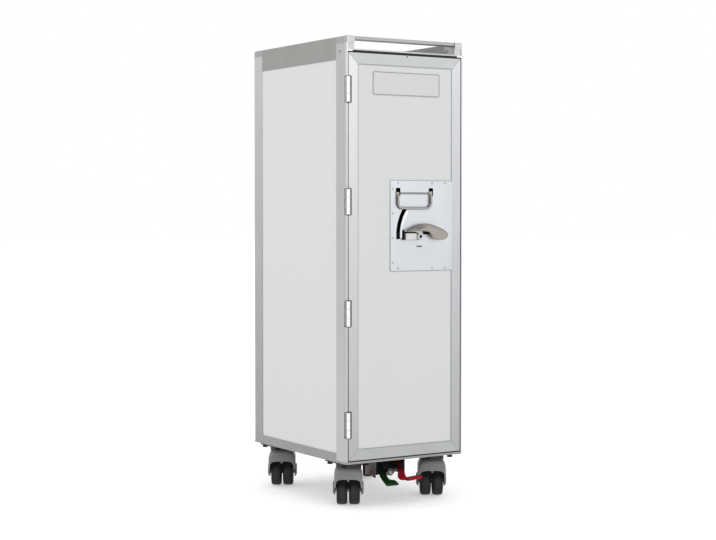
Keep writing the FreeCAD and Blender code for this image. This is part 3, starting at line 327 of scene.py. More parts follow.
@dataclass(frozen=True)
class Finish:
    """A surface finish: its colour as a screen shows it, and how fine its patterns are along X, Y and Z."""

    name: str
    colour: Colour
    rough: float

    def material(self) -> bpy.types.Material:
        """Give the finish's material, made on first use.

        Returns:
            The material.
        """
        known = bpy.data.materials.get(self.name)
        if known is not None:
            return known
        shader = Shader(self.name)
        self.dress(shader)
        return shader.material

    def shade(self, factor: float) -> tuple[float, float, float, float]:
        """Give the colour made lighter or darker by a factor."""
        red, green, blue, alpha = linear(self.colour)
        return (min(red * factor, 1.0), min(green * factor, 1.0), min(blue * factor, 1.0), alpha)

    def dress(self, shader: Shader) -> None:
        """Fill the material's tree; each kind of finish has its own way."""
        raise NotImplementedError


@dataclass(frozen=True)
class Metal(Finish):
    """Brushed, anodised or cast metal.

    It is darkened towards the floor and towards one end, both as painted shade, and its toned faces take a
    tone that paints light above 1 and shade below 1, with another value at the floor where tone_low is given.
    """

    grain: Grain = Grain.NONE
    streak: float = 0.05
    depth: float = 0.02 * MM
    metallic: float = 1.0
    rub: float = 1.15
    # painted shade that darkens the metal towards the floor; 1 gives none
    painted_floor_shade: float = 1.0
    # the faces that take painted light or shade, its strength at the top, and at the floor where tone_low is
    # given
    toned: Facing = Facing.FRONT
    tone: float = 1.0
    tone_low: float = 0.0
    # painted shade towards one end along X: where it starts, where it ends and the darkest share
    tail: Sizes = (0.0, 1.0, 1.0)
    clouds: Sizes = (14.0, 14.0, 9.0)

    def dress(self, shader: Shader) -> None:
        """Give the metal its grain, clouding and rubbed edges, and its painted light and shade.

        Args:
            shader: the material's shader.
        """
        fine = shader.noise(self.grain.value, detail=2.0)
        cloud = shader.noise(self.clouds, detail=4.0)
        base = shader.blend(fine, self.shade(1.0 - self.streak), self.shade(1.0 + self.streak))
        base = shader.blend(shader.span(cloud, (0.35, 0.7), (0.0, 0.35)), base, self.shade(0.90))
        worn = shader.edges(EDGE * 1.6, shader.span(cloud, (0.3, 0.6), (0.25, 0.8)))
        base = shader.blend(worn, base, self.shade(self.rub))
        # painted shade: darker towards the floor, and towards one end along X
        start, end, least = self.tail
        if self.painted_floor_shade < 1.0:
            base = shader.scaled(base, shader.rise(self.painted_floor_shade, 1.0))
        if least < 1.0:
            run = shader.span(shader.part(shader.place, "X"), (start, end), (least, 1.0))
            base = shader.scaled(base, run)
        # painted light or shade on the faces that look one way: lighter where the tone is above 1, darker
        # below it
        if self.tone != 1.0:
            toned = shader.scaled(base, shader.rise(self.tone_low or self.tone, self.tone))
            base = shader.blend(shader.faces(self.toned), base, toned)
        grit = shader.sums("ADD", shader.span(fine, (0.3, 0.7), (-0.04, 0.05)),
                           shader.span(cloud, (0.3, 0.7), (self.rough - 0.03, self.rough + 0.04)))
        shader.set(Base_Color=base, Roughness=grit, Metallic=self.metallic)
        shader.relief(fine, self.depth)


@dataclass(frozen=True)
class Laminate(Finish):
    """A pale hard panel with a faint pebble and a thin sheen."""

    pebble: float = 0.012 * MM
    clouds: Sizes = (5.0, 5.0, 3.0)
    grains: Sizes = (900.0, 900.0, 900.0)
    marks: Sizes = (26.0, 26.0, 70.0)

    def dress(self, shader: Shader) -> None:
        """Give the panel its faint clouding, pebble and hand marks.

        Args:
            shader: the material's shader.
        """
        cloud = shader.noise(self.clouds, detail=5.0, rough=0.6)
        grain = shader.noise(self.grains, detail=2.0)
        marks = shader.noise(self.marks, detail=6.0, rough=0.7)
        base = shader.blend(cloud, self.shade(0.985), self.shade(1.015))
        base = shader.blend(shader.span(grain, (0.55, 0.8), (0.0, 0.25)), base, self.shade(0.94))
        sheen = shader.span(marks, (0.35, 0.75), (self.rough, self.rough + 0.12))
        shader.set(Base_Color=base, Roughness=sheen, Specular_IOR_Level=0.35)
        shader.relief(grain, self.pebble)


@dataclass(frozen=True)
class Moulded(Finish):
    """Moulded plastic or rubber with a spark-eroded grain; the tone is that of faces along the axle."""

    pebble: float = 0.05 * MM
    dust: float = 1.5
    shine: float = 0.4
    tone: float = 1.0
    grains: Sizes = (1400.0, 1400.0, 1400.0)
    clouds: Sizes = (40.0, 40.0, 40.0)

    def dress(self, shader: Shader) -> None:
        """Give the moulding its grain, dust and paler edges.

        Args:
            shader: the material's shader.
        """
        grain = shader.noise(self.grains, detail=2.0)
        cloud = shader.noise(self.clouds, detail=5.0, rough=0.65)
        base = shader.blend(cloud, self.shade(0.88), self.shade(1.12))
        worn = shader.edges(EDGE * 1.5, shader.span(cloud, (0.35, 0.65), (0.1, 0.7)))
        base = shader.blend(worn, base, self.shade(self.dust))
        if self.tone != 1.0:
            base = shader.blend(shader.faces(Facing.AXLE), base, self.shade(self.tone))
        grit = shader.span(grain, (0.3, 0.7), (self.rough - 0.06, self.rough + 0.06))
        shader.set(Base_Color=base, Roughness=grit, Specular_IOR_Level=self.shine)
        shader.relief(grain, self.pebble)


@dataclass(frozen=True)
class Enamel(Finish):
    """Sprayed paint on steel, rubbed bright where shoes catch it, and darkened between two heights as painted
    shade.
    """

    bare: Colour = (150, 148, 145)
    peel: float = 0.04 * MM
    shine: float = 0.2
    painted_shade_band: Sizes = (0.0, 1.0, 1.0)
    ripples: Sizes = (260.0, 260.0, 260.0)
    chips: Sizes = (220.0, 220.0, 220.0)

    def dress(self, shader: Shader) -> None:
        """Give the paint its orange peel, chipped edges and painted shade.

        Args:
            shader: the material's shader.
        """
        peel = shader.noise(self.ripples, detail=2.0)
        chips = shader.noise(self.chips, detail=6.0, rough=0.75)
        base = shader.blend(peel, self.shade(0.86), self.shade(1.14))
        worn = shader.edges(EDGE * 1.6, shader.span(chips, (0.56, 0.66)))
        base = shader.blend(worn, base, linear(self.bare))
        # painted shade: the paint darkens upwards between two heights, where the arm goes into the shadow
        # under the base
        low, high, darkest = self.painted_shade_band
        if darkest < 1.0:
            base = shader.scaled(base, shader.rise(1.0, darkest, (low, high)))
        grit = shader.span(chips, (0.3, 0.7), (self.rough, self.rough + 0.15))
        shader.set(Base_Color=base, Metallic=worn, Roughness=grit, Specular_IOR_Level=self.shine)
        shader.relief(peel, self.peel)


# Front faces lighter, up to 1.78 times at the top: a painted highlight along the front posts' front edges.
FRAME_SIDE = Metal("post_aluminium", (183, 184, 185), 0.40, Grain.UPRIGHT, tone=1.78, tone_low=1.02)
# A lighter copy of the post aluminium, darker towards the floor as painted shade.
FRAME_REAR = Metal("rear_post_aluminium", (194, 195, 195), 0.40, Grain.UPRIGHT, painted_floor_shade=0.60)
FRAME_RUN = Metal("rail_aluminium", (152, 152, 151), 0.42, Grain.DEEP)
# Faces turned in towards the middle are darker: painted shade inside the gallery.
GALLERY = Metal("gallery_rail_aluminium", (157, 156, 154), 0.42, Grain.DEEP, toned=Facing.INWARD, tone=0.70)
# Undersides are darker: painted shade under the bars.
GALLERY_BAR = Metal("bar_aluminium", (184, 184, 183), 0.34, Grain.ACROSS, toned=Facing.UNDER, tone=0.35)
# Front faces 1.75 times lighter: a painted highlight on the caps' fronts.
CAP = Metal("corner_cap_aluminium", (166, 166, 165), 0.38, tone=1.75)
DECK = Metal("deck_aluminium", (232, 233, 234), 0.46, Grain.ACROSS)
NOSING = Metal("nosing_aluminium", (206, 206, 205), 0.42, Grain.ACROSS)
INNER = Metal("inner_aluminium", (196, 197, 198), 0.45)
# One door-frame aluminium in three lit and shaded copies, each darker towards the floor as painted shade.
HINGE_STILE = Metal("hinge_stile_aluminium", (234, 235, 236), 0.38, Grain.UPRIGHT, 0.03, painted_floor_shade=0.53)
LATCH_STILE = Metal("latch_stile_aluminium", (222, 224, 227), 0.38, Grain.UPRIGHT, 0.03, painted_floor_shade=0.57)
DOOR_RAIL = Metal("door_rail_aluminium", (204, 206, 207), 0.38, Grain.ACROSS, 0.03, painted_floor_shade=0.73)
PANEL = Laminate("pale_laminate", (219, 221, 220), 0.38)
CARD = Laminate("bare_card_face", (214, 216, 215), 0.42)
RIM = Laminate("card_rim_grey", (150, 152, 151), 0.45)
BEAD = Metal("panel_bead_grey", (174, 175, 177), 0.45, metallic=0.4)
SEAM = Metal("mitre_seam_grey", (150, 152, 154), 0.5, metallic=0.6)
# Faces turned to the right are darker: painted shade.
STRAP = Metal("hinge_strap_steel", (246, 247, 247), 0.42, Grain.UPRIGHT, 0.02, metallic=0.5,
              toned=Facing.RIGHT, tone=0.34)
# Faces turned sideways or back are much darker: painted shade.
BARREL = Metal("hinge_barrel_steel", (246, 247, 247), 0.42, Grain.UPRIGHT, 0.02, metallic=0.5,
               toned=Facing.FLANKS, tone=0.16)
OUTLINE = Metal("hinge_edge_grey", (66, 66, 67), 0.6, metallic=0.0)
PIN = Metal("dark_pin_steel", (134, 129, 126), 0.30, streak=0.06)
STEEL = Metal("brushed_stainless", (205, 206, 209), 0.30, Grain.UPRIGHT)
# Darker towards the floor as painted shade.
PLATE = Metal("latch_plate_stainless", (242, 246, 251), 0.36, Grain.UPRIGHT, 0.025, painted_floor_shade=0.45)
# Faces turned away from the front are darker: painted shade.
WIRE = Metal("bail_wire_steel", (180, 177, 174), 0.24, streak=0.06, toned=Facing.TURNED, tone=0.42)
# Upward faces are darker, and the lever darkens towards its left end: both painted shade.
CAST = Metal("cast_lever_grey", (168, 161, 154), 0.42, depth=0.12 * MM, metallic=0.55, toned=Facing.RISING,
             tone=0.58, tail=(-0.004, 0.05, 0.66))
ROD = Metal("hinge_rod_grey", (150, 149, 147), 0.34)
MARK = Metal("stamped_mark_grey", (96, 95, 94), 0.5, metallic=0.3)
LIP = Metal("guide_lip_steel", (246, 247, 249), 0.30, streak=0.02)
RIVET = Metal("rivet_steel", (176, 176, 178), 0.34)
# Faces turned away from the front are darker: painted shade.
SEAL = Metal("seal_block_grey", (214, 216, 215), 0.42, metallic=0.5, toned=Facing.TURNED, tone=0.55)
# Near black: the latch housing and crank, the bumper and the eyelet plug, and painted shade inside the hoods,
# on the sheets in their mouths and under the latch lever.
BLACK_AND_SHADE = Moulded("latch_pit_black", (8, 8, 9), 0.75, shine=0.15)
# Black rubber for the door gasket, and painted shade on the strip in the gap above the door.
RUBBER_AND_GAP_SHADE = Moulded("seal_rubber", (26, 26, 27), 0.62, pebble=0.03 * MM)
TYRE = Moulded("tyre_rubber", (54, 51, 49), 0.55, pebble=0.08 * MM, dust=1.4, shine=0.2, tone=0.26)
HUB = Moulded("wheel_hub_grey", (60, 59, 58), 0.45)
HOOD = Moulded("hood_grey", (134, 132, 130), 0.46, pebble=0.04 * MM, dust=1.2, shine=0.3)
# A dark grey that stands in for the shade under the base: painted shade on the caster plates.
SWIVEL_SHADE = Moulded("swivel_head_dark", (74, 73, 72), 0.55, shine=0.2)
CHEEK = Metal("cheek_plate_steel", (120, 110, 105), 0.46, Grain.UPRIGHT, metallic=0.6)
# The arms darken upwards between two heights: painted shade under the base.
RED = Enamel("red_enamel", (160, 8, 24), 0.42, painted_shade_band=(0.058, 0.078, 0.10))
GREEN = Enamel("green_enamel", (6, 58, 16), 0.42, painted_shade_band=(0.048, 0.068, 0.10))
BLACK = Enamel("black_enamel", (30, 29, 29), 0.5)


def circle(heart: Vector, way: Vector, side: Vector, radius: float, segments: int) -> list[Vector]:
    """Give the points of a circle.

    Args:
        heart: its middle.
        way: the way that it faces.
        side: the direction of its first point.
        radius: its radius.
        segments: how many points it has.

    Returns:
        The points in order.
    """
    up = way.cross(side)
    angles = [2.0 * math.pi * step / segments for step in range(segments)]
    return [heart + (side * math.cos(angle) + up * math.sin(angle)) * radius for angle in angles]


def rounded(x0: float, z0: float, x1: float, z1: float, radius: float,
            steps: int = 6) -> list[tuple[float, float]]:
    """Give the outline of a rectangle with round corners.

    Args:
        x0: its left side.
        z0: its lower side.
        x1: its right side.
        z1: its upper side.
        radius: the corners' radius.
        steps: the steps round a corner.

    Returns:
        The outline's points in order.
    """
    points = []
    left, right, low, high = x0 + radius, x1 - radius, z0 + radius, z1 - radius
    for quarter, (x, z) in enumerate(((right, high), (left, high), (left, low), (right, low))):
        for step in range(steps + 1):
            angle = math.pi / 2 * (quarter + step / steps)
            points.append((x + radius * math.cos(angle), z + radius * math.sin(angle)))
    return points


def border(low: Point, high: Point, y: float, inset: float, corner: float, steps: int = 6) -> list[Point]:
    """Give a rounded path along the edges of a plate in the door's plane.

    Args:
        low: the plate's lowest corner.
        high: the plate's highest corner.
        y: the path's place along Y.
        inset: how far inside the edges it runs.
        corner: the radius of its corners.
        steps: the steps round a corner.

    Returns:
        The path's points in order.
    """
    path = rounded(low[0] + inset, low[2] + inset, high[0] - inset, high[2] - inset, corner, steps)
    return [(x, y, z) for x, z in path]


def ridge(width: float, *flank: tuple[float, float]) -> list[tuple[float, float]]:
    """Give the section of a ridge with two like flanks.

    Args:
        width: its width.
        flank: the places up a flank, each as a share of the half width and a height.

    Returns:
        The section's points from left to right.
    """
    left = [(-share * width / 2, height) for share, height in flank]
    return left + [(-across, height) for across, height in reversed(left)]


def along(stops: Sequence[Sizes], x: float) -> float:
    """Read a value from a table of places and values.

    Args:
        stops: the places in rising order, each with its value.
        x: the place.

    Returns:
        The value there.
    """
    for (x0, v0), (x1, v1) in zip(stops, stops[1:]):
        if x <= x1:
            return v0 + (v1 - v0) * max(x - x0, 0.0) / (x1 - x0)
    return stops[-1][1]


def eased(corners: Sequence[Point], bends: Sequence[float], steps: int = 7) -> list[Vector]:
    """Round the corners of a path.

    Args:
        corners: the path's points.
        bends: the bend radius at each inner point.
        steps: the steps round a bend.

    Returns:
        The rounded path.
    """
    spots = [Vector(corner) for corner in corners]
    path = [spots[0]]
    for before, spot, after, bend in zip(spots, spots[1:], spots[2:], bends):
        back, ahead = (before - spot).normalized(), (after - spot).normalized()
        half = back.angle(ahead) / 2
        heart = spot + (back + ahead).normalized() * (bend / math.sin(half))
        start = spot + back * (bend / math.tan(half)) - heart
        end = spot + ahead * (bend / math.tan(half)) - heart
        sweep = start.angle(end)
        for step in range(steps + 1):
            turn = sweep * step / steps
            path.append(heart + (start * math.sin(sweep - turn) + end * math.sin(turn)) / math.sin(sweep))
    return path + [spots[-1]]


def arched(half: float, foot: float, spring: float, top: float, power: float) -> list[tuple[float, float]]:
    """Give a squared-off arch on two straight legs.

    Args:
        half: its half width.
        foot: the height of its feet.
        spring: the height that the arch springs from.
        top: its highest point.
        power: how square its shoulders are.

    Returns:
        Its points from left to right.
    """
    steps, knee = 20, (foot + spring) / 2
    points = [(-half, foot), (-half, knee)]
    for step in range(steps + 1):
        c, s = math.cos(math.pi * step / steps), math.sin(math.pi * step / steps)
        across = -math.copysign(abs(c) ** (2 / power), c) * half
        points.append((across, spring + abs(s) ** (2 / power) * (top - spring)))
    return points + [(half, knee), (half, foot)]


def upright(back: float) -> Lift:
    """Give a lift for a plate in the door's plane, from its X, its Z and the height off its back."""
    return lambda x, z, out: (x, back - out, z)


def hinge_heights() -> list[float]:
    """Find the hinges in the mesh of their pins.

    Returns:
        The heights of their middles, from the lowest up.
    """
    pin_longest = 60.0 * MM
    pins: list[list[float]] = []
    for height in sorted({round(corner.co.z, 4) for corner in frame["nodes"]["hinge_pins"].data.vertices}):
        if pins and height - pins[-1][0] < pin_longest:
            pins[-1].append(height)
        else:
            pins.append([height])
    return [(heights[0] + heights[-1]) / 2 for heights in pins]


class Clay:
    """A mesh in the making, in metres, in the part's own frame. Each shape is added to what is there."""

    def __init__(self) -> None:
        """Start an empty mesh."""
        self.mesh = bmesh.new()

    def skin(self, rings: Sequence[Sequence[Point]], loop: bool = False, capped: bool = True) -> Self:
        """Stretch a skin over closed rings with as many points each.

        Args:
            rings: the rings in order.
            loop: whether the last ring joins the first.
            capped: whether the ends are filled.

        Returns:
            The mesh.
        """
        made = [[self.mesh.verts.new(point) for point in points] for points in rings]
        count = len(made[0])
        for one, two in zip(made, made[1:] + made[:1] if loop else made[1:]):
            for i in range(count):
                j = (i + 1) % count
                self.mesh.faces.new((one[i], one[j], two[j], two[i]))
        if capped and not loop:
            self.mesh.faces.new(made[0][::-1])
            self.mesh.faces.new(made[-1])
        return self

    def turned(self, profile: Sequence[Sizes], centre: Point, axis: Point, segments: int = 48) -> Self:
        """Turn a closed profile round an axis.

        Args:
            profile: radius and place along the axis, in order round the section.
            centre: the point that places count from.
            axis: the direction of the axis.
            segments: the steps in a full turn.

        Returns:
            The mesh.
        """
        way = Vector(axis).normalized()
        outs = circle(Vector(), way, way.orthogonal().normalized(), 1.0, segments)
        heart = Vector(centre)
        rings = [[heart + out * radius + way * place for radius, place in profile] for out in outs]
        return self.skin(rings, loop=True)

    def dome(self, centre: Point, axis: Point, radius: float, height: float, flange: float,
             segments: int = 20) -> Self:
        """Make a domed rivet head that stands on a surface.

        Args:
            centre: the middle of its foot.
            axis: the way that it stands.
            radius: the head's radius.
            height: the head's height.
            flange: the thickness of the thin rim below the dome.
            segments: the steps in a full turn.

        Returns:
            The mesh.
        """
        way = Vector(axis).normalized()
        side = way.orthogonal().normalized()
        brow, angles = 0.94, (0.1, 0.45, 0.8, 1.15, 1.4)
        profile = [(1.0, 0.0), (1.0, flange)]
        profile += [(math.cos(a) * brow, flange + (height - flange) * math.sin(a)) for a in angles]
        return self.skin([circle(Vector(centre) + way * rise, way, side, radius * share, segments)
                          for share, rise in profile])

    def block(self, low: Point, high: Point, bevel: float, steps: int = 2) -> Self:
        """Make a block with softened edges.

        Args:
            low: its lowest corner.
            high: its highest corner.
            bevel: the rounding of its edges.
            steps: the faces across a rounding.

        Returns:
            The mesh.
        """
        part = bmesh.new()
        size, middle = Vector(high) - Vector(low), (Vector(high) + Vector(low)) / 2
        for corner in bmesh.ops.create_cube(part, size=1.0)["verts"]:
            corner.co = corner.co * size + middle
        return self.take(part, part.edges, bevel, steps)

    def slab(self, outline: Sequence[Sizes], lift: Lift, low: float, high: float, bevel: float = 0.0,
             steps: int = 2) -> Self:
        """Make a plate from an outline.

        Args:
            outline: its corners in the plate's plane, in order.
            lift: gives the place of a point from its two plane sizes and its height.
            low: the lower height.
            high: the upper height.
            bevel: the rounding of its long edges.
            steps: the faces across a rounding.

        Returns:
            The mesh.
        """
        plate = Clay().skin([[lift(a, b, height) for a, b in outline] for height in (low, high)])
        rims = list(plate.mesh.faces)[-2:]
        return self.take(plate.mesh, (edge for rim in rims for edge in rim.edges), bevel, steps)

    def swept(self, path: Sequence[Point], section: Sequence[Sizes], up: Point, loop: bool = False) -> Self:
        """Sweep a closed section along a path.

        Args:
            path: the path's points.
            section: the section's corners, sideways and upwards.
            up: the section's upward way.
            loop: whether the path closes on itself.

        Returns:
            The mesh.
        """
        points = [Vector(point) for point in path]
        top = Vector(up).normalized()
        rings = []
        for i, point in enumerate(points):
            ahead = points[(i + 1) % len(points)] if loop or i + 1 < len(points) else point
            behind = points[i - 1] if loop or i > 0 else point
            side = (ahead - behind).normalized().cross(top).normalized()
            rings.append([point + side * a + top * b for a, b in section])
        return self.skin(rings, loop=loop)

    def tube(self, path: Sequence[Point], radius: float, segments: int = 18) -> Self:
        """Bend a round bar along a path.

        Args:
            path: the points of its middle line.
            radius: the bar's radius.
            segments: the steps round the bar.

        Returns:
            The mesh.
        """
        points = [Vector(point) for point in path]
        side = (points[1] - points[0]).orthogonal().normalized()
        rings = []
        for before, point, after in zip(points[:1] + points, points, points[1:] + points[-1:]):
            way = (after - before).normalized()
            side = (side - way * side.dot(way)).normalized()
            rings.append(circle(point, way, side, radius, segments))
        return self.skin(rings)

    def strap(self, stops: Table, thick: float, corner: float) -> Self:
        """Bend a flat strap that runs down and forward.

        Args:
            stops: Y, Z and the left and right edge at each stop.
            thick: the strap's thickness.
            corner: the rounding of its edges.

        Returns:
            The mesh.
        """
        spots = [Vector((0.0, y, z)) for y, z, _, _ in stops]
        rings = []
        for i, (_, _, left, right) in enumerate(stops):
            way = (spots[min(i + 1, len(spots) - 1)] - spots[max(i - 1, 0)]).normalized()
            out = Vector(TO_RIGHT).cross(way)
            section = rounded(left, -thick / 2, right, thick / 2, corner, steps=3)
            rings.append([spots[i] + Vector((x, 0.0, 0.0)) + out * height for x, height in section])
        return self.skin(rings)

    def take(self, part: bmesh.types.BMesh, edges: Iterable[bmesh.types.BMEdge], bevel: float,
             steps: int) -> Self:
        """Round some edges of another mesh, add it to this one and free it.

        Args:
            part: the other mesh.
            edges: the edges.
            bevel: their rounding.
            steps: the faces across a rounding.

        Returns:
            The mesh.
        """
        if bevel > 0.0:
            bmesh.ops.bevel(part, geom=list(edges), offset=bevel, segments=steps, profile=0.5, affect="EDGES",
                            clamp_overlap=True)
        spare = bpy.data.meshes.new("spare")
        part.to_mesh(spare)
        part.free()
        self.mesh.from_mesh(spare)
        bpy.data.meshes.remove(spare)
        return self

    def carve(self, cutters: Sequence["Clay"]) -> Self:
        """Cut other closed meshes out of this one.

        Args:
            cutters: the meshes to cut with; they are used up.

        Returns:
            The mesh.
        """
        things = [clay.thing("stock") for clay in (self, *cutters)]
        for tool in things[1:]:
            cut = things[0].modifiers.new("cut", "BOOLEAN")
            cut.operation, cut.solver, cut.object = "DIFFERENCE", "EXACT", tool
        bpy.context.view_layer.update()
        graph = bpy.context.evaluated_depsgraph_get()
        data = bpy.data.meshes.new_from_object(things[0].evaluated_get(graph))
        self.mesh = bmesh.new()
        self.mesh.from_mesh(data)
        for spare in (data, *(thing.data for thing in things)):
            bpy.data.meshes.remove(spare)
        return self

    def thing(self, name: str) -> bpy.types.Object:
        """Turn the mesh, which is used up, into an object of the scene.

        Args:
            name: the object's name.

        Returns:
            The object.
        """
        bmesh.ops.recalc_face_normals(self.mesh, faces=self.mesh.faces)
        data = bpy.data.meshes.new(name)
        self.mesh.to_mesh(data)
        self.mesh.free()
        return stand(name, data)

    def piece(self, name: str, body: str, finish: Finish, slot: str, instead: Sequence[str] = (),
              smooth: float = 35.0) -> bpy.types.Object:
        """Turn the mesh into a piece that rides on a body.

        Args:
            name: the piece's name.
            body: the body that carries it.
            finish: its finish.
            slot: the record's material slot; it is not used.
            instead: the solids that it stands for.
            smooth: the angle in degrees up to which faces blend.

        Returns:
            The piece.
        """
        piece = self.thing(name)
        piece.data.shade_smooth()
        piece.data.set_sharp_from_angle(angle=math.radians(smooth))
        piece.data.materials.append(finish.material())
        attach(piece, body)
        for node in instead:
            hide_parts(node)
        LOG.info("piece %s on %s, %d faces", name, body, len(piece.data.polygons))
        return piece


def dress(finish: Finish, *nodes: str) -> None:
    """Give solids of the frame a finish.

    Args:
        finish: the finish.
        nodes: the solids' names.
    """
    for node in nodes:
        data = frame["nodes"][node].data
        data.materials.clear()
        data.materials.append(finish.material())
        LOG.info("node %s in %s", node, finish.name)


@dataclass
class Cabinet:
    """The carcass: posts, rails, panels, deck, gallery, runners and the plates of the casters."""

    rivet_place: Sizes = mm(-173.0, 987.5)
    rivet_head: Sizes = mm(3.4, 0.18, 0.06)
    strip_half: float = 136.0 * MM
    strip_low: float = 986.0 * MM
    strip_high: float = 989.7 * MM
    strip_proud: float = 0.6 * MM
    strip_sunk: float = 0.3 * MM
    strip_bevel: float = 0.25 * MM
    nosing_drop: float = 0.05 * MM

    def build(self) -> None:
        """Dress the solids and add the posts' rivets and the deck's front edge."""
        dress(FRAME_SIDE, "front_left_post", "front_right_post")
        dress(FRAME_REAR, "rear_left_post", "rear_right_post")
        dress(FRAME_RUN, "left_bottom_rail", "right_bottom_rail", "base_plate")
        dress(GALLERY, "left_top_rail", "right_top_rail")
        dress(GALLERY_BAR, "rear_top_rail", "rear_bottom_rail", "front_push_bar", "rear_push_bar")
        dress(CAP, "corner_caps")
        dress(DECK, "top_deck", "floor_pan")
        dress(INNER, "door_stops", "tray_runners")
        dress(PANEL, "left_side_panel", "right_side_panel", "rear_panel")
        # the caster plates are dark as painted shade under the base
        dress(SWIVEL_SHADE, "caster_plates")
        dress(BLACK, "caster_bolts")
        self.rivets()
        self.deck_edge()

    def rivets(self) -> None:
        """Set the flat rivets in the sides of the front posts."""
        clay = Clay()
        for hand in Hand:
            low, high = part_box(f"front_{hand.name.lower()}_post")
            face = low[0] if hand is Hand.LEFT else high[0]
            clay.dome((face, *self.rivet_place), (hand.value, 0, 0), *self.rivet_head)
        clay.piece("post_rivets", "cabinet", PIN, "stainless")

    def deck_edge(self) -> None:
        """Lay the black strip, painted shade in the gap above the door, and the thin nosing along the deck's
        front edge.
        """
        low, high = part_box("top_deck")
        half, front, back = self.strip_half, low[1] - self.strip_proud, low[1] + self.strip_sunk
        crest = high[2] - self.nosing_drop
        # the black strip stands in for the shade in the gap above the door
        bars = ((self.strip_low, self.strip_high, "deck_edge_strip", RUBBER_AND_GAP_SHADE, "black_rubber"),
                (self.strip_high, crest, "deck_edge_nosing", NOSING, "gallery_aluminium"))
        for foot, top, name, finish, slot in bars:
            bar = Clay().block((-half, front, foot), (half, back, top), self.strip_bevel)
            bar.piece(name, "cabinet", finish, slot)


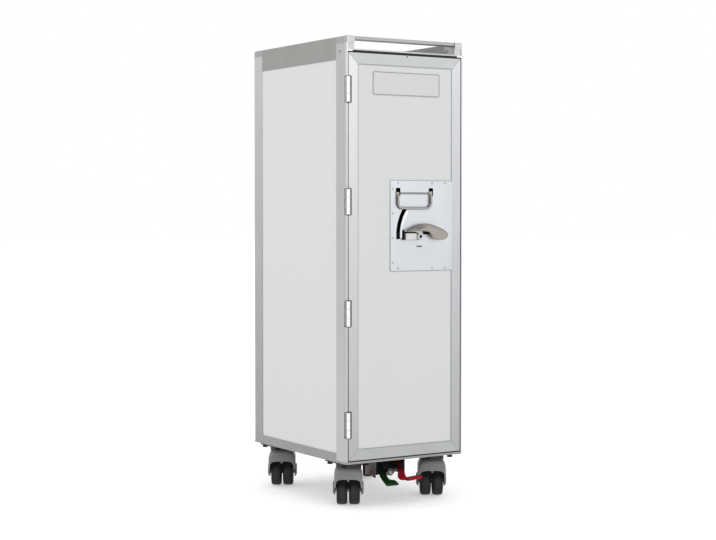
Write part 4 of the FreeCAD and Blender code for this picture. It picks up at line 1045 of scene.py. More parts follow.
@dataclass
class Door:
    """The door: mitred frame, panel, seal, hinges and the bare card plate."""

    bead_width: float = 2.2 * MM
    bead_proud: float = 0.35 * MM
    bead_side: float = 0.21 * MM
    bead_crown: float = 0.4
    seam_width: float = 0.9 * MM
    seam_proud: float = 0.25 * MM
    seam_sunk: float = 0.1 * MM
    seam_crown: float = 0.6
    rim_width: float = 1.5 * MM
    rim_inset: float = 1.2 * MM
    rim_proud: float = 0.4 * MM
    rim_crown: float = 0.7
    rim_corner: float = 3.0 * MM
    strap_width: float = 3.6 * MM
    strap_depth: float = 6.0 * MM
    strap_half: float = 26.6 * MM
    strap_proud: float = 0.4 * MM
    strap_bevel: float = 1.1 * MM
    edge_width: float = 4.1 * MM
    edge_end: float = 2.2 * MM
    edge_proud: float = 0.25 * MM
    edge_sunk: float = 1.0 * MM
    edge_start: float = 0.2 * MM
    edge_gap: float = 0.1 * MM
    edge_bevel: float = 0.12 * MM
    hinge_axis: Sizes = mm(-147.5, -202.0)
    barrel_half: float = 27.2 * MM
    barrel_end: Sizes = mm(4.5, 2.4, 1.2)
    screw: Sizes = mm(3.6, 981.8)
    screw_head: Sizes = mm(1.7, 0.8, 0.2)

    def build(self) -> None:
        """Dress the solids and add the beads, seams, rim and hinge straps."""
        dress(HINGE_STILE, "door_hinge_stile")
        dress(LATCH_STILE, "door_latch_stile")
        dress(DOOR_RAIL, "door_top_rail", "door_bottom_rail")
        dress(PANEL, "door_panel")
        dress(RUBBER_AND_GAP_SHADE, "door_gasket")
        dress(BARREL, "hinge_post_leaves", "hinge_door_leaves")
        dress(PIN, "hinge_pins")
        dress(CARD, "card_plate")
        self.bead()
        self.seams()
        self.card_rim()
        self.straps()
        self.strap_edges()

    def bead(self) -> None:
        """Lay the thin glazing bead where the panel meets the frame, with a break at the latch plate."""
        low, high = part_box("door_panel")
        plate_low, plate_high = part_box("latch_plate")
        half = self.bead_width / 2
        x0, x1, z0, z1 = low[0] + half, high[0] - half, low[2] + half, high[2] - half
        crown = (self.bead_crown, self.bead_proud)
        section = ridge(self.bead_width, (1.0, 0.0), (1.0, self.bead_side), crown)
        runs = [((x0, z0), (x0, z1)), ((x0, z1), (x1, z1)), ((x1, z1), (x1, plate_high[2])),
                ((x1, plate_low[2]), (x1, z0)), ((x1, z0), (x0, z0))]
        clay = Clay()
        for run in runs:
            clay.swept([(x, low[1], z) for x, z in run], section, TO_FRONT)
        clay.piece("panel_bead", "door", BEAD, "door_aluminium")

    def seams(self) -> None:
        """Lay the fine weld seams along the mitres of the door frame."""
        low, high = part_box("door_panel")
        out_low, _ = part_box("door_hinge_stile")
        _, out_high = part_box("door_latch_stile")
        front = out_low[1]
        section = ridge(self.seam_width, (1.0, -self.seam_sunk), (self.seam_crown, self.seam_proud))
        clay = Clay()
        for x_in, x_out in ((low[0], out_low[0]), (high[0], out_high[0])):
            for z_in, z_out in ((low[2], out_low[2]), (high[2], out_high[2])):
                clay.swept([(x_in, front, z_in), (x_out, front, z_out)], section, TO_FRONT)
        clay.piece("door_frame_seams", "door", SEAM, "door_aluminium")

    def card_rim(self) -> None:
        """Raise the thin rounded rim of the bare card plate."""
        low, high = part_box("card_plate")
        path = border(low, high, low[1], self.rim_inset + self.rim_width / 2, self.rim_corner)
        section = ridge(self.rim_width, (1.0, 0.0), (self.rim_crown, self.rim_proud))
        Clay().swept(path, section, TO_FRONT, loop=True).piece("card_plate_rim", "door", RIM, "card_plate")

    def straps(self) -> None:
        """Fill the hinge notches with the folded straps of the door leaves."""
        low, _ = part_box("door_hinge_stile")
        front, back = low[1] - self.strap_proud, low[1] + self.strap_depth
        clay = Clay()
        for middle in hinge_heights():
            clay.block((low[0], front, middle - self.strap_half),
                       (low[0] + self.strap_width, back, middle + self.strap_half), self.strap_bevel, steps=3)
        clay.piece("hinge_straps", "door", STRAP, "stainless")

    def strap_edges(self) -> None:
        """Frame each strap with its recess's dark joint, cap the barrels and set the top rail's screw."""
        low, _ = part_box("door_hinge_stile")
        side = low[0] + self.strap_width
        left, inner, right = low[0] + self.edge_start, side + self.edge_gap, side + self.edge_width
        front, back = low[1] - self.edge_proud, low[1] + self.edge_sunk
        tall, half = self.edge_end, self.strap_half
        clay = Clay()
        for middle in hinge_heights():
            for x0, x1, foot, top in ((inner, right, middle - half - tall, middle + half + tall),
                                      (left, inner, middle - half - tall, middle - half),
                                      (left, inner, middle + half, middle + half + tall)):
                clay.block((x0, front, foot), (x1, back, top), self.edge_bevel, steps=1)
            for way in (-1.0, 1.0):
                clay.dome((*self.hinge_axis, middle + way * self.barrel_half), (0, 0, way), *self.barrel_end)
        clay.dome((self.screw[0], low[1], self.screw[1]), TO_FRONT, *self.screw_head, segments=16)
        clay.piece("hinge_recess_edges", "door", OUTLINE, "door_aluminium")


@dataclass
class Latch:
    """The latch: plate, lever, bail handle, seal block and the works behind.

    The lever's upper edge, lower edge and half thickness are in millimetres along it, from its pivot. So is
    its crease, which has a first and a last place and a depth as a share of the thickness.
    """

    pivot: Sizes = mm(80.6, 594.3)
    spindle_hole: Table = table((0.1, -3.0), (5.6, -3.0), (5.6, 3.0), (0.1, 3.0))
    plate_bevel: float = 0.5 * MM
    guide: float = 101.0 * MM
    guide_half: float = 4.8 * MM
    guide_span: Sizes = (-5.0, 35.0)
    lip_inset: float = 8.6 * MM
    lip_half: float = 2.5 * MM
    lip_proud: float = 1.7 * MM
    lip_margin: float = 1.0
    slot_edges: Table = table((-26.5, -14.5), (60.0, 72.0))
    slot_low: float = 678.5 * MM
    slot_high: float = 697.0 * MM
    slot_corner: float = 2.5 * MM
    dash: Sizes = mm(27.6, 567.6, 42.6, 570.8)
    dash_corner: float = 1.536 * MM
    dash_deep: float = 0.8 * MM
    mark_deep: Sizes = mm(0.9, 0.35)
    mark_bevel: float = 0.1 * MM
    rod: Sizes = mm(-15.6, 57.2, 685.2)
    rod_radius: float = 2.3 * MM
    rod_proud: Sizes = mm(0.5, 0.7)
    rod_ease: float = 0.6 * MM
    rim_width: float = 1.6 * MM
    rim_out: float = 1.0 * MM
    rim_proud: float = 0.9 * MM
    rim_crown: float = 0.8
    rim_corner: float = 1.0 * MM
    wire_radius: float = 2.8 * MM
    wire_bends: Sizes = mm(2.5, 4.5, 11.0)
    legs: Sizes = mm(-22.5, 64.0)
    bail_axis: Sizes = mm(-194.0, 682.5)
    bail_face: float = -204.5 * MM
    bail_bar: float = 652.8 * MM
    lug_half: float = 4.4 * MM
    lug_faces: Sizes = mm(-203.6, -196.8)
    lug_foot: float = 679.6 * MM
    lug_tops: Sizes = mm(688.2, 690.2)
    lug_bevel: float = 2.2 * MM
    rivet_head: Sizes = mm(2.4, 1.1, 0.25)
    rivet_margin: float = 5.0 * MM
    rivet_first: float = 18.5 * MM
    rivet_count: int = 4
    rivet_shares: Sizes = (0.12, 0.67, 0.88)
    upper: Table = (
        (-86.4, 9.0), (-84.0, 9.8), (-76.7, 11.8), (-67.9, 15.9), (-59.2, 19.5), (-51.9, 22.1), (-44.5, 23.8),
        (-38.0, 24.6), (-31.3, 24.7), (-22.4, 23.7), (-15.0, 21.7), (-6.0, 18.7), (2.9, 15.5), (11.9, 11.6),
        (17.9, 8.1), (22.1, 4.4), (23.7, 1.4), (24.2, -1.4))
    lower: Table = (
        (-86.4, 7.8), (-84.0, 7.4), (-67.9, 8.4), (-53.3, 9.2), (-38.6, 8.0), (-29.7, 7.1), (-25.4, 6.0),
        (-22.4, 3.0), (-19.8, -1.2), (-15.2, -6.6), (-8.9, -9.8), (-1.5, -11.6), (6.0, -11.9), (15.0, -10.8),
        (20.0, -7.9), (23.0, -4.4), (24.2, -2.0))
    thick: Table = (
        (-86.4, 1.4), (-85.0, 2.6), (-80.0, 3.6), (-68.0, 4.3), (-52.0, 5.0), (14.0, 5.0), (19.0, 4.7),
        (22.0, 4.0), (23.6, 2.8), (24.2, 1.2))
    least_half: float = 0.3
    squareness: Sizes = (0.90, 0.84)
    lever_middle: float = 5.0 * MM
    lever_hub: Table = table((5.1, 0.0), (10.4, 0.0), (10.8, -0.5), (10.8, -5.5), (5.1, -5.5))
    lever_steps: int = 64
    crease: Sizes = (-70.0, -30.0, 0.66)
    crease_heights: Sizes = (-0.3, 0.6)
    crease_half: float = 0.24
    crease_stops: range = range(-72, -26, 3)
    block_length: float = 28.0 * MM
    block_deep: float = 11.0 * MM
    block_trim: float = 0.4 * MM
    block_bevel: float = 1.8 * MM
    neck_start: float = 24.0 * MM
    neck_deep: float = 9.0 * MM
    neck_half: float = 4.2 * MM
    neck_bevel: float = 1.2 * MM
    eye_inset: float = 8.0 * MM
    eye_height: float = 590.9 * MM
    eyelet: Table = table((2.2, -5.0), (3.6, -12.4), (4.2, -13.0), (6.8, -13.0), (7.8, -12.0), (8.0, -10.6),
                          (8.0, 0.0), (2.2, 0.0))
    plug: Table = table((0.05, -11.8), (3.4, -11.8), (2.15, -4.6), (2.15, -0.5), (0.05, -0.5))
    bumper_sides: Sizes = mm(-3.4, -0.05)
    bumper_deep: float = 5.0 * MM
    bumper_foot: float = 0.6 * MM
    bumper_rise: float = 6.4 * MM
    bumper_bevel: float = 0.9 * MM
    # The ledge and the pad below are black sheets of painted shadow: the ledge between the lever and the seal
    # block, the pad on the plate under the lever.
    shadow_ledge_sides: Sizes = mm(-0.3, 32.0)
    shadow_ledge_deep: float = 5.5 * MM
    shadow_ledge_heights: Sizes = mm(-0.2, 2.2)
    shadow_ledge_bevel: float = 0.8 * MM
    lever_shadow: Sizes = mm(44.5, 595.2, 68.0, 607.0)
    lever_shadow_corner: float = 3.5 * MM
    lever_shadow_thick: float = 1.6 * MM
    lever_shadow_bevel: float = 0.4 * MM

    def build(self) -> None:
        """Dress the solids and build the plate, bail, lever, seal block and rivets."""
        dress(BLACK_AND_SHADE, "latch_housing", "latch_crank")
        dress(STEEL, "latch_bolt")
        self.plate()
        self.rest_rod()
        self.plate_rim()
        self.bail()
        self.lip()
        self.rivets()
        self.lever()
        self.seal()

    def bow(self, radius: float, margin: float = 0.0) -> list[tuple[float, float]]:
        """Give points along a bow round the pivot that follows the guide slot.

        Args:
            radius: the bow's radius.
            margin: how much shorter than the slot it is at each end, in degrees.

        Returns:
            The points from the lower end to the upper end.
        """
        steps, (first, last) = 24, self.guide_span
        x, z = self.pivot
        start, sweep = first + margin, last - first - 2 * margin
        angles = [math.radians(start + sweep * i / steps) for i in range(steps + 1)]
        return [(x - radius * math.cos(angle), z + radius * math.sin(angle)) for angle in angles]

    def plate(self) -> None:
        """Cut the plate with its bail slots, guide slot and stamped dash, and lay in the dark mark."""
        low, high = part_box("latch_plate")
        lift, deep = upright(high[1]), high[1] - low[1]
        dash = rounded(*self.dash, self.dash_corner, steps=4)
        foot, top, corner = self.slot_low, self.slot_high, self.slot_corner
        holes = [rounded(x0, foot, x1, top, corner, steps=4) for x0, x1 in self.slot_edges]
        holes.append(self.bow(self.guide + self.guide_half) + self.bow(self.guide - self.guide_half)[::-1])
        cutters = [Clay().slab(hole, lift, -MM, deep + MM) for hole in holes]
        cutters.append(Clay().slab(dash, lift, deep - self.dash_deep, deep + MM))
        x, z = self.pivot
        cutters.append(Clay().turned(self.spindle_hole, (x, low[1], z), TO_BACK, segments=24))
        corners = [(low[0], low[2]), (high[0], low[2]), (high[0], high[2]), (low[0], high[2])]
        sheet = Clay().slab(corners, lift, 0.0, deep, self.plate_bevel).carve(cutters)
        sheet.piece("latch_face_plate", "door", PLATE, "stainless", ("latch_plate",))
        lowest, highest = (deep - sunk for sunk in self.mark_deep)
        mark = Clay().slab(dash, lift, lowest, highest, self.mark_bevel, steps=1)
        mark.piece("stamped_mark", "door", MARK, "stainless")

    def rest_rod(self) -> None:
        """Lay the thin rod that the bail rests on, with its ends let into the plate."""
        low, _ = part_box("latch_plate")
        (left, right, height), ease = self.rod, self.rod_ease
        end, front = (low[1] - proud for proud in self.rod_proud)
        path = [(left, end, height), (left + ease, front, height), (right - ease, front, height),
                (right, end, height)]
        Clay().tube(path, self.rod_radius).piece("bail_rest_rod", "door", ROD, "stainless")

    def plate_rim(self) -> None:
        """Lay the thin grey joint round the plate."""
        low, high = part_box("latch_plate")
        path = border(low, high, high[1], self.rim_width / 2 - self.rim_out, self.rim_corner, steps=3)
        section = ridge(self.rim_width, (1.0, 0.0), (self.rim_crown, self.rim_proud))
        Clay().swept(path, section, TO_FRONT, loop=True).piece("latch_plate_joint", "door", SEAM, "stainless")

    def bail(self) -> None:
        """Bend the bail handle from one round wire, with a lug where each leg enters the plate."""
        low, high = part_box("bail_handle")
        y, z = self.bail_axis
        left, right = self.legs
        face, bar = self.bail_face, self.bail_bar
        corners = [(low[0], y, z), (left, y, z), (left, face, z), (left, face, bar), (right, face, bar),
                   (right, face, z), (right, y, z), (high[0], y, z)]
        clay = Clay().tube(eased(corners, self.wire_bends + self.wire_bends[::-1]), self.wire_radius)
        front, back = self.lug_faces
        for leg, top in zip(self.legs, self.lug_tops):
            clay.block((leg - self.lug_half, front, self.lug_foot), (leg + self.lug_half, back, top),
                       self.lug_bevel, steps=4)
        clay.piece("bail_wire", "bail", WIRE, "stainless", ("bail_handle",))

    def lip(self) -> None:
        """Raise the rolled lip beside the guide slot."""
        low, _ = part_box("latch_plate")
        steps = 8
        angles = [math.pi * i / steps for i in range(steps + 1)]
        section = [(-self.lip_half * math.cos(angle), self.lip_proud * math.sin(angle)) for angle in angles]
        path = [(x, low[1], z) for x, z in self.bow(self.guide - self.lip_inset, self.lip_margin)]
        Clay().swept(path, section, TO_FRONT).piece("guide_lip", "door", LIP, "stainless")

    def rivets(self) -> None:
        """Set the plate's rivets along its left, upper and lower edges."""
        low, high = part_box("latch_plate")
        margin, first = self.rivet_margin, self.rivet_first
        pitch = (high[2] - low[2] - 2 * first) / (self.rivet_count - 1)
        spots = [(low[0] + margin, low[2] + first + i * pitch) for i in range(self.rivet_count)]
        for share in self.rivet_shares:
            x = low[0] + share * (high[0] - low[0])
            spots += [(x, high[2] - margin), (x, low[2] + margin)]
        clay = Clay()
        for x, z in spots:
            clay.dome((x, low[1], z), TO_FRONT, *self.rivet_head)
        clay.piece("latch_plate_rivets", "door", RIVET, "stainless", ("latch_rivets",))

    def lever(self) -> None:
        """Cast the lever as a smooth form along its spine, with its hub."""
        low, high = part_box("latch_lever")
        x0, z0 = self.pivot
        edges = (self.upper, self.lower, self.thick)
        stops = sorted({x for rows in edges for x, _ in rows} | {float(x) for x in self.crease_stops})
        tall_power, deep_power = self.squareness
        rings = []
        for x in stops:
            top, foot, deep = (along(rows, x) for rows in edges)
            heart = Vector((x0 + x * MM, low[1] + self.lever_middle, z0 + (top + foot) / 2 * MM))
            half = max((top - foot) / 2, self.least_half)
            ring = []
            for step in range(self.lever_steps):
                angle = 2.0 * math.pi * step / self.lever_steps
                c, s = math.cos(angle), math.sin(angle)
                up = math.copysign(abs(c) ** tall_power, c)
                out = math.copysign(abs(s) ** deep_power, s) * deep
                if s > 0.0:
                    out *= self.scoop(x, up)
                ring.append(heart + Vector((0.0, -out * MM, up * half * MM)))
            rings.append(ring)
        clay = Clay().skin(rings).turned(self.lever_hub, (x0, high[1], z0), TO_BACK, segments=40)
        clay.piece("lift_lever", "lever", CAST, "cast_lever", ("latch_lever",), smooth=50.0)

    def scoop(self, x: float, height: float) -> float:
        """Give the share of the lever's depth that is left where its crease runs.

        Args:
            x: the place along the lever, in millimetres from its pivot.
            height: the place between the lower edge, -1, and the upper edge, 1.

        Returns:
            The share.
        """
        first, last, depth = self.crease
        start, end = self.crease_heights
        ease = max(0.0, 1.0 - ((2.0 * x - first - last) / (last - first)) ** 2)
        middle = start + (end - start) * (x - first) / (last - first)
        return 1.0 - depth * ease * math.exp(-((height - middle) / self.crease_half) ** 2)

    def seal(self) -> None:
        """Build the seal block with its neck and eyelet, its black bumper and plug, and a black ledge on the
        block and a black pad on the plate that are painted shadow under the lever.
        """
        low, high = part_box("seal_block")
        x, back = low[0], high[1]
        eye = (high[0] - self.eye_inset, back, self.eye_height)
        trim = self.block_trim
        clay = Clay().block((x, back - self.block_deep, low[2] + trim),
                            (x + self.block_length, back, high[2] - trim), self.block_bevel, steps=4)
        clay.block((x + self.neck_start, back - self.neck_deep, eye[2] - self.neck_half),
                   (eye[0], back, eye[2] + self.neck_half), self.neck_bevel, steps=3)
        clay.turned(self.eyelet, eye, TO_BACK, segments=40)
        clay.piece("lead_seal_block", "door", SEAL, "stainless", ("seal_block",))
        clay = Clay().turned(self.plug, eye, TO_BACK, segments=20)
        left, right = self.bumper_sides
        clay.block((x + left, back - self.bumper_deep, low[2] + self.bumper_foot),
                   (x + right, back, high[2] + self.bumper_rise), self.bumper_bevel, steps=3)
        # painted shadow: a black ledge on the block and a black pad on the plate under the lever
        (left, right), (foot, top) = self.shadow_ledge_sides, self.shadow_ledge_heights
        clay.block((x + left, back - self.shadow_ledge_deep, high[2] + foot), (x + right, back, high[2] + top),
                   self.shadow_ledge_bevel, steps=3)
        clay.slab(rounded(*self.lever_shadow, self.lever_shadow_corner), upright(back), 0.0, self.lever_shadow_thick, self.lever_shadow_bevel)
        clay.piece("seal_block_bumper", "door", BLACK_AND_SHADE, "black_rubber")


@dataclass
class Brake:
    """The foot brake: pedals, shaft, rocker, bracket and plungers.

    An arm has Y, Z and its left and right edge at each stop, and the red tread has X, its back and front edge
    and its height. A cheek plate has its front, its back and its foot.
    """

    shaft: Sizes = mm(-125.7, 115.5)
    hub_radius: float = 8.5 * MM
    hub_bore: float = 5.1 * MM
    hub_soft: float = 0.8 * MM
    thick: float = 5.0 * MM
    corner: float = 1.3 * MM
    red_hub: Sizes = mm(8.0, 24.0)
    red_arm: Table = table(
        (-127.0, 108.6, 8.0, 23.5), (-136.0, 99.4, 6.0, 23.0), (-145.7, 90.2, 4.5, 22.5),
        (-157.0, 81.2, 3.5, 20.0), (-163.5, 75.4, 3.0, 18.5), (-168.5, 69.6, 1.5, 17.5),
        (-171.5, 64.6, -1.5, 16.5), (-176.0, 59.6, -4.0, 15.5), (-182.0, 56.8, -3.5, 15.0),
        (-187.0, 55.8, -1.0, 14.5))
    red_tread: Table = table(
        (9.0, -180.0, -196.0, 55.6), (12.0, -179.0, -198.5, 55.9), (20.0, -178.5, -200.2, 56.6),
        (32.0, -179.0, -200.2, 57.8), (42.0, -180.5, -199.6, 58.8), (46.0, -182.5, -198.0, 59.2),
        (47.0, -185.0, -195.5, 59.4))
    tread_faces: Sizes = mm(-3.0, 2.0)
    green_hub: Sizes = mm(-39.5, -23.5)
    green_arm: Table = table(
        (-128.0, 108.2, -39.5, -23.5), (-134.0, 98.0, -39.5, -23.5), (-140.5, 85.6, -39.5, -23.5),
        (-152.0, 71.0, -39.5, -23.5), (-163.0, 58.4, -39.5, -23.5), (-170.0, 53.2, -39.5, -22.5),
        (-173.5, 51.6, -39.5, -12.0), (-176.5, 50.0, -39.5, -9.5), (-182.0, 47.0, -39.5, -9.0),
        (-187.0, 46.2, -39.0, -9.5))
    cheek_out: float = 1.8 * MM
    cheek_in: float = 0.1 * MM
    cheek_top: float = 101.8 * MM
    cheek_plates: Table = table((-134.0, -107.0, 60.0), (-149.6, -137.0, 57.5))
    cheek_bevel: float = 0.7 * MM
    cheek_web: Sizes = mm(-138.5, -132.5, 72.0)
    web_bevel: float = 0.3 * MM
    web_step: float = 0.72 * MM
    pin_place: Sizes = mm(-7.7, 67.5)
    pin_head: Sizes = mm(4.6, 2.4, 0.6)

    def build(self) -> None:
        """Dress the solids and build the pedals and the bracket's cheek plates."""
        dress(BLACK, "brake_bracket", "shaft_bearings")
        dress(CHEEK, "pedal_rocker")
        dress(STEEL, "brake_shaft", "brake_plungers")
        self.red()
        self.green()
        self.cheeks()

    def pedal(self, ends: Sizes, arm: Table) -> Clay:
        """Turn a pedal's hub round the shaft and bend its arm.

        Args:
            ends: the hub's left and right end.
            arm: the arm's stops.

        Returns:
            The pedal's mesh.
        """
        (left, right), bore, r, soft = ends, self.hub_bore, self.hub_radius, self.hub_soft
        profile = [(bore, left), (r - soft, left), (r, left + soft), (r, right - soft), (r - soft, right),
                   (bore, right)]
        clay = Clay().turned(profile, (0.0, *self.shaft), TO_RIGHT, segments=40)
        return clay.strap(arm, self.thick, self.corner)

    def red(self) -> None:
        """Build the red brake pedal, with its tread to the right of the arm."""
        under, over = self.tread_faces
        rings = []
        for x, back, front, height in self.red_tread:
            section = rounded(front, height + under, back, height + over, self.corner, steps=3)
            rings.append([(x, y, z) for y, z in section])
        clay = self.pedal(self.red_hub, self.red_arm).skin(rings)
        clay.piece("red_foot_pedal", "brake_pedal", RED, "pedal_red", ("red_pedal",))

    def green(self) -> None:
        """Build the green release pedal, whose foot widens to the right."""
        clay = self.pedal(self.green_hub, self.green_arm)
        clay.piece("green_foot_pedal", "release_pedal", GREEN, "pedal_green", ("green_pedal",))

    def cheeks(self) -> None:
        """Cover the bracket's sides with its folded plates, and head the rocker's pin."""
        low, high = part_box("brake_bracket")
        out, lap = self.cheek_out, self.cheek_in
        clay = Clay()
        for x0, x1 in ((low[0] - out, low[0] + lap), (high[0] - lap, high[0] + out)):
            for front, back, foot in self.cheek_plates:
                clay.block((x0, front, foot), (x1, back, self.cheek_top), self.cheek_bevel)
            front, back, foot = self.cheek_web
            clay.block((x0, front, foot), (x1 - self.web_step, back, self.cheek_top), self.web_bevel, steps=1)
        clay.piece("bracket_cheek_plates", "cabinet", CHEEK, "bracket_black")
        pin = Clay().dome((self.pin_place[0], low[1], self.pin_place[1]), TO_FRONT, *self.pin_head)
        pin.piece("rocker_pin_head", "cabinet", RIVET, "stainless")


@dataclass
class Caster:
    """One twin-wheel caster with its hood.

    Places along the trail count from the swivel, and heights from the floor. A nose or a tail has the place
    where it starts and how much it takes off. The tread and the hub have radii and insets from the side of
    the wheel.
    """

    row: Row
    hand: Hand
    wheel_radius: float = 37.0 * MM
    wheel_width: float = 24.0 * MM
    wheel_gap: float = 3.5 * MM
    tread: Table = table((25.0, 1.2), (28.5, 0.3), (31.0, 0.0), (33.6, 0.5), (35.4, 2.0), (36.4, 4.2),
                         (36.85, 7.0))
    hub: Table = table((5.1, 1.0), (11.0, 1.0), (12.0, 3.5), (22.0, 4.5), (24.2, 1.6), (25.4, 1.6))
    hood_half: float = 31.0 * MM
    hood_wall: float = 2.2 * MM
    hood_top: float = 90.0 * MM
    hood_front: float = -30.0 * MM
    hood_back: float = 47.0 * MM
    hood_stops: Sizes = mm(
        -30.0, -29.6, -28.6, -27.0, -26.05, -25.95, -22.0, -18.0, -12.0, -6.0, 0.0, 5.0, 9.0, 10.6, 12.5,
        15.0, 19.0, 25.0, 31.0, 35.0, 37.5, 39.4, 41.0, 43.5, 45.6, 47.0)
    top_nose: Sizes = mm(-16.0, 11.0)
    top_tail: Sizes = mm(24.0, 17.0)
    top_power: float = 1.7
    side_nose: Sizes = mm(-23.0, 2.8)
    side_tail: Sizes = mm(34.0, 3.5)
    side_power: float = 2.0
    leg_half: float = 15.0 * MM
    leg_drop: float = 17.0 * MM
    edge_front: float = 45.0 * MM
    edge_power: float = 1.6
    edge_back: float = 57.0 * MM
    spring: float = 62.0 * MM
    shoulder: float = 3.2
    roof: float = 79.5 * MM
    roof_wall: float = 4.0 * MM
    roof_spring: float = 60.0 * MM
    roof_deep: float = 14.0 * MM
    roof_shoulder: float = 3.6
    mouth_half: float = 27.3 * MM
    mouth_spring: float = 0.5 * MM
    mouth_shoulder: float = 4.2
    arch: float = 63.0 * MM
    rib_half: float = 1.9 * MM
    rib_low: float = 58.5 * MM
    rib_rise: float = 1.5 * MM
    rib_corner: float = 0.8 * MM
    rib_inset: float = 0.6 * MM
    rib_lap: float = 0.2 * MM
    boss: Table = table((5.1, 0.0), (5.1, 3.8), (12.0, 3.8), (13.4, 3.1), (14.0, 1.8), (14.0, 0.0))
    boss_sunk: float = 0.8 * MM
    # The guard and the liners below are black sheets of painted shade inside the hood's mouth.
    shade_guard_place: Sizes = mm(-25.4, -23.4)
    shade_guard_top: float = 71.0 * MM
    shade_guard_low: float = 45.5 * MM
    shade_guard_arch: float = 51.0 * MM
    shade_guard_fit: float = 0.4 * MM
    shade_guard_shoulder: float = 0.6
    shade_guard_bevel: float = 0.3 * MM
    shade_liner_back: float = 40.0 * MM
    shade_liner_low: float = 29.0 * MM
    shade_liner_top: float = 69.0 * MM
    shade_liner_rise: float = 0.6 * MM
    shade_liners: Table = table((-27.2, 0.9), (0.0, 1.2), (27.2, 0.9))
    collar_profile: Table = table((11.2, 83.0), (11.2, 97.0), (24.0, 97.0), (25.0, 96.0), (25.0, 93.0),
                                  (21.5, 91.5), (21.5, 88.5), (23.5, 87.0), (23.5, 83.0))

    @property
    def name(self) -> str:
        """Give the corner's name."""
        return f"{self.row.value}_{self.hand.name.lower()}"

    def build(self) -> None:
        """Dress the axle and build the hood, the black guard and liners of painted shade, the collar and the
        wheels.
        """
        dress(STEEL, f"{self.name}_axle")
        self.hood()
        self.shade_guard()
        self.collar()
        self.wheels()

    def heart(self) -> Vector:
        """Give the point on the floor below the swivel."""
        place = joint(f"{self.name}_swivel")["pos_m"]
        return Vector((place[0], place[1], 0.0))

    def axle(self) -> Vector:
        """Give the middle of the wheels' axle."""
        return Vector(joint(f"{self.name}_roll")["pos_m"])

    def across(self) -> Vector:
        """Give the direction of the axle."""
        return Vector(joint(f"{self.name}_roll")["axis"]).normalized()

    def trail(self) -> Vector:
        """Give the level way from the swivel to the axle."""
        way = self.axle() - self.heart()
        return Vector((way.x, way.y, 0.0))

    def at(self, u: float, v: float, z: float) -> Vector:
        """Give a place from the trail, the axle's direction and the height."""
        return self.heart() + self.trail().normalized() * u + self.across() * v + Vector((0, 0, z))

    def crosswise(self, v: float, z: float, u: float) -> Vector:
        """Lift a point of a plate that stands across the trail."""
        return self.at(u, v, z)

    def lengthwise(self, u: float, z: float, v: float) -> Vector:
        """Lift a point of a plate that stands along the trail."""
        return self.at(u, v, z)

    def low(self, u: float) -> float:
        """Give the height of the hood's lower edge, which drops to a round leg at the axle.

        Args:
            u: the place along the trail.

        Returns:
            The height.
        """
        reach, height, leg = self.trail().length, self.axle().z, self.leg_half
        if abs(u - reach) <= leg:
            return height - self.leg_drop * math.sqrt(1.0 - ((u - reach) / leg) ** 2)
        if u < reach:
            share = (u - self.hood_front) / (reach - leg - self.hood_front)
            return self.edge_front + (height - self.edge_front) * share ** self.edge_power
        share = (u - reach - leg) / (self.hood_back - reach - leg)
        return height + (self.edge_back - height) * share

    def drawn_in(self, u: float, full: float, nose: Sizes, tail: Sizes, power: float) -> float:
        """Draw a size in towards the hood's ends.

        Args:
            u: the place along the trail.
            full: the size over the middle.
            nose: the rounding at the front.
            tail: the slope at the back.
            power: how late the slope falls.

        Returns:
            The size at that place.
        """
        if u < nose[0]:
            share = (nose[0] - u) / (nose[0] - self.hood_front)
            return full - nose[1] * (1.0 - math.sqrt(max(1.0 - share ** 2, 0.0)))
        if u > tail[0]:
            return full - tail[1] * ((u - tail[0]) / (self.hood_back - tail[0])) ** power
        return full

    def half(self, u: float) -> float:
        """Give the hood's half width at a place along the trail."""
        return self.drawn_in(u, self.hood_half, self.side_nose, self.side_tail, self.side_power)

    def section(self, u: float) -> list[Vector]:
        """Give the closed ring of the hood's wall at a place along the trail.

        Args:
            u: the place along the trail.

        Returns:
            The ring's points, over the outside and back along the inside.
        """
        wide, low = self.half(u), self.low(u)
        top = self.drawn_in(u, self.hood_top, self.top_nose, self.top_tail, self.top_power)
        if u < self.hood_front + self.hood_wall:
            inner, shoulder = self.mouth_half, self.mouth_shoulder
            roof = min(self.arch, top - self.roof_wall)
            spring = min(low + self.mouth_spring, roof - MM)
        else:
            inner, shoulder = wide - self.hood_wall, self.roof_shoulder
            roof = min(self.roof, top - self.roof_wall)
            spring = max(min(roof - self.roof_deep, self.roof_spring), low + MM)
        outside = arched(wide, low, max(self.spring, low + MM), top, self.shoulder)
        inside = arched(inner, low, spring, roof, shoulder)
        return [self.at(u, v, z) for v, z in outside + inside[::-1]]

    def hood(self) -> None:
        """Mould the hood: a rounded shell whose inside is near black as painted shade, a leg and a boss at
        each side, and a rib.
        """
        rings = [self.section(stop) for stop in self.hood_stops]
        count = len(rings[0])
        half = count // 2
        clay = Clay().skin(rings, capped=False)
        for i, face in enumerate(clay.mesh.faces):
            # the inside faces take the second material, near black: painted shade
            face.material_index = int(half <= i % count < count - 1)
        corners = list(clay.mesh.verts)
        for end in (corners[:count], corners[-count:]):
            for i in range(half - 1):
                clay.mesh.faces.new((end[i], end[i + 1], end[count - 2 - i], end[count - 1 - i]))
        for side in (-1.0, 1.0):
            way = self.across() * side
            clay.turned(self.boss, self.axle() + way * (self.hood_half - self.boss_sunk), way, segments=36)
        top = self.arch + self.rib_rise
        rib = rounded(-self.rib_half, self.rib_low, self.rib_half, top, self.rib_corner, steps=3)
        clay.slab(rib, self.crosswise, self.hood_front + self.rib_inset, self.shade_guard_place[0] + self.rib_lap)
        body, solid = f"{self.name}_caster", f"{self.name}_fork"
        hood = clay.piece(f"{self.name}_hood", body, HOOD, "caster_grey", (solid,))
        # near black for the inside: painted shade
        hood.data.materials.append(BLACK_AND_SHADE.material())

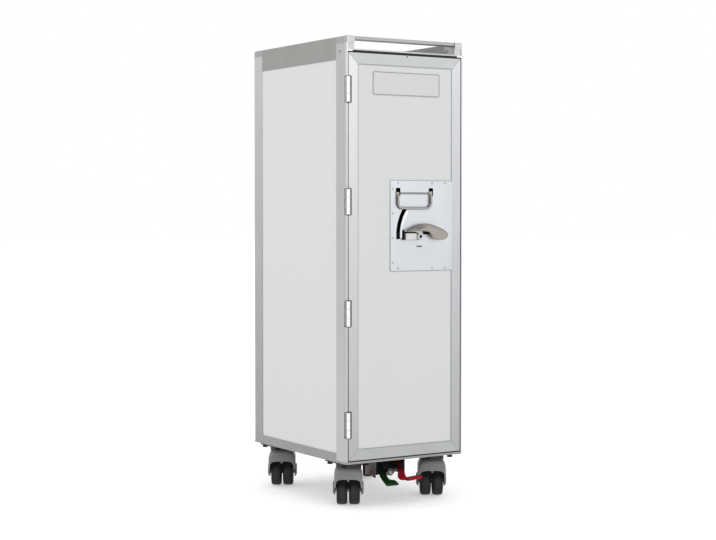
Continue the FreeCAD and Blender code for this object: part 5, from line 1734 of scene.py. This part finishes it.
    def shade_guard(self) -> None:
        """Stand the black guard in the hood's mouth, with an arch over each wheel and liners behind it; guard
        and liners are black sheets of painted shade inside the hood.
        """
        front = self.shade_guard_place[0]
        wide = self.half(front) - self.hood_wall + self.shade_guard_fit
        middle, reach = (self.wheel_gap + self.wheel_width) / 2, self.wheel_width / 2 - self.shade_guard_fit
        rise, steps = self.shade_guard_arch - self.shade_guard_low, 16
        outline = [(-wide, self.shade_guard_top), (-wide, self.shade_guard_low)]
        for heart in (-middle, middle):
            for step in range(steps + 1):
                angle = math.pi * step / steps
                outline.append((heart - reach * math.cos(angle),
                                self.shade_guard_low + rise * math.sin(angle) ** self.shade_guard_shoulder))
        outline += [(wide, self.shade_guard_low), (wide, self.shade_guard_top)]
        clay = Clay().slab(outline, self.crosswise, *self.shade_guard_place, self.shade_guard_bevel, steps=1)
        steps = 24
        stops = [front + (self.shade_liner_back - front) * i / steps for i in range(steps + 1)]
        side = [(u, self.shade_liner_top) for u in reversed(stops)]
        side += [(u, max(self.low(u) + self.shade_liner_rise, self.shade_liner_low)) for u in stops]
        for place, half in self.shade_liners:
            clay.slab(side, self.lengthwise, place - half, place + half)
        clay.piece(f"{self.name}_wheel_guard", f"{self.name}_caster", BLACK_AND_SHADE, "wheel_black")

    def collar(self) -> None:
        """Turn the dark swivel collar between the hood and the base."""
        clay = Clay().turned(self.collar_profile, self.heart(), UP)
        clay.piece(f"{self.name}_swivel_collar", f"{self.name}_caster", BLACK, "caster_grey")

    def faced(self, insets: Table, *crown: Sizes) -> list[Sizes]:
        """Give a profile that is alike on both sides of a wheel.

        Args:
            insets: radii and insets on one side.
            crown: what stands between the two sides.

        Returns:
            The profile's points in order.
        """
        left = [(radius, inset - self.wheel_width / 2) for radius, inset in insets]
        return [*left, *crown, *((radius, -place) for radius, place in reversed(left))]

    def wheels(self) -> None:
        """Turn the two tyres and their hubs."""
        tyres, hubs = Clay(), Clay()
        tread, hub = self.faced(self.tread, (self.wheel_radius, 0.0)), self.faced(self.hub)
        for side in (-1.0, 1.0):
            centre = self.axle() + self.across() * side * (self.wheel_gap + self.wheel_width) / 2
            tyres.turned(tread, centre, self.across(), segments=72)
            hubs.turned(hub, centre, self.across())
        body = f"{self.name}_wheelset"
        tyres.piece(f"{self.name}_tyres", body, TYRE, "wheel_black", (f"{self.name}_wheels",))
        hubs.piece(f"{self.name}_hubs", body, HUB, "wheel_black")


def seen(tree: bpy.types.NodeTree) -> Socket:
    """Tell the rays that show a surface to the camera, straight, mirrored or through glass, from the others.

    Args:
        tree: the tree of a material or a world.

    Returns:
        A value that is 1 for such rays.
    """
    path = tree.nodes.new("ShaderNodeLightPath")
    found = path.outputs["Is Camera Ray"]
    for kind in ("Is Glossy Ray", "Is Transmission Ray"):
        node = tree.nodes.new("ShaderNodeMath")
        node.operation = "MAXIMUM"
        tree.links.new(found, node.inputs[0])
        tree.links.new(path.outputs[kind], node.inputs[1])
        found = node.outputs["Value"]
    return found


@dataclass
class Studio:
    """The floor, the lamps, the sky and the camera; a lamp has its place, target, size and watts."""

    eye: Sizes = (-1.9279, -3.0875, 0.6455)
    yaw: float = 0.5586
    pitch: float = -0.0368
    lens: float = 79.88
    sensor: float = 36.0
    farthest: float = 100.0
    floor_reach: float = 30.0
    floor_greys: Sizes = (0.69, 0.72)
    floor_mottle: Sizes = (3.0, 3.0, 3.0)
    floor_lift: float = 0.41
    ambient: float = 0.96
    key: tuple = ((-0.7, -3.3, 2.6), (0.0, 0.0, 0.7), 1.8, 21.0)
    fill: tuple = ((-2.8, 0.6, 1.9), (0.0, 0.0, 0.6), 2.0, 12.0)

    def build(self) -> None:
        """Set the studio up."""
        self.floor()
        self.sky()
        self.lamp("key_lamp", *self.key)
        self.lamp("fill_lamp", *self.fill)
        self.camera()
        bpy.context.scene.view_settings.view_transform = "Standard"

    def floor(self) -> None:
        """Lay the pale floor."""
        data = bpy.data.meshes.new("studio_floor")
        reach = self.floor_reach
        corners = [(-reach, -reach, 0), (reach, -reach, 0), (reach, reach, 0), (-reach, reach, 0)]
        data.from_pydata(corners, [], [(0, 1, 2, 3)])
        shader = Shader("studio_floor")
        dark, light = ((grey, grey, grey, 1) for grey in self.floor_greys)
        glow = shader.sums("MULTIPLY", seen(shader.tree), self.floor_lift)
        grey = shader.blend(shader.noise(self.floor_mottle, detail=2.0), dark, light)
        shader.set(Base_Color=grey, Roughness=0.9, Specular_IOR_Level=0.1, Emission_Color=WHITE,
                   Emission_Strength=glow)
        data.materials.append(shader.material)
        floor = stand("studio_floor", data)

    def sky(self) -> None:
        """Light the scene evenly, with a white backdrop."""
        world = bpy.data.worlds.new("studio")
        bpy.context.scene.world = world
        world.use_nodes = True
        tree = world.node_tree
        tree.nodes.clear()
        mix = tree.nodes.new("ShaderNodeMixShader")
        tree.links.new(seen(tree), mix.inputs["Fac"])
        for strength, socket in ((self.ambient, mix.inputs[1]), (1.0, mix.inputs[2])):
            back = tree.nodes.new("ShaderNodeBackground")
            back.inputs["Color"].default_value = WHITE
            back.inputs["Strength"].default_value = strength
            tree.links.new(back.outputs["Background"], socket)
        out = tree.nodes.new("ShaderNodeOutputWorld")
        tree.links.new(mix.outputs["Shader"], out.inputs["Surface"])

    def lamp(self, name: str, place: Point, target: Point, size: float, power: float) -> None:
        """Hang a soft lamp.

        Args:
            name: the lamp's name.
            place: where it hangs.
            target: where it points.
            size: the side of its square face.
            power: its power in watts.
        """
        data = bpy.data.lights.new(name, "AREA")
        data.shape = "SQUARE"
        data.size = size
        data.energy = power
        lamp = stand(name, data)
        lamp.location = place
        lamp.rotation_euler = (Vector(target) - Vector(place)).to_track_quat("-Z", "Y").to_euler()

    def camera(self) -> None:
        """Set the camera up where the photographer stood."""
        data = bpy.data.cameras.new("camera")
        data.lens = self.lens
        data.sensor_width = self.sensor
        data.clip_end = self.farthest
        camera = stand("camera", data)
        camera.location = self.eye
        level = math.cos(self.pitch)
        way = Vector((math.sin(self.yaw) * level, math.cos(self.yaw) * level, math.sin(self.pitch)))
        camera.rotation_euler = way.to_track_quat("-Z", "Y").to_euler()
        bpy.context.scene.camera = camera


def main() -> None:
    """Build every sub-assembly and the studio."""
    logging.basicConfig(level=logging.INFO, format="%(name)s: %(message)s")
    for assembly in (Cabinet(), Door(), Latch(), Brake()):
        assembly.build()
    for row in Row:
        for hand in Hand:
            Caster(row, hand).build()
    Studio().build()


if __name__ == "__main__":
    main()
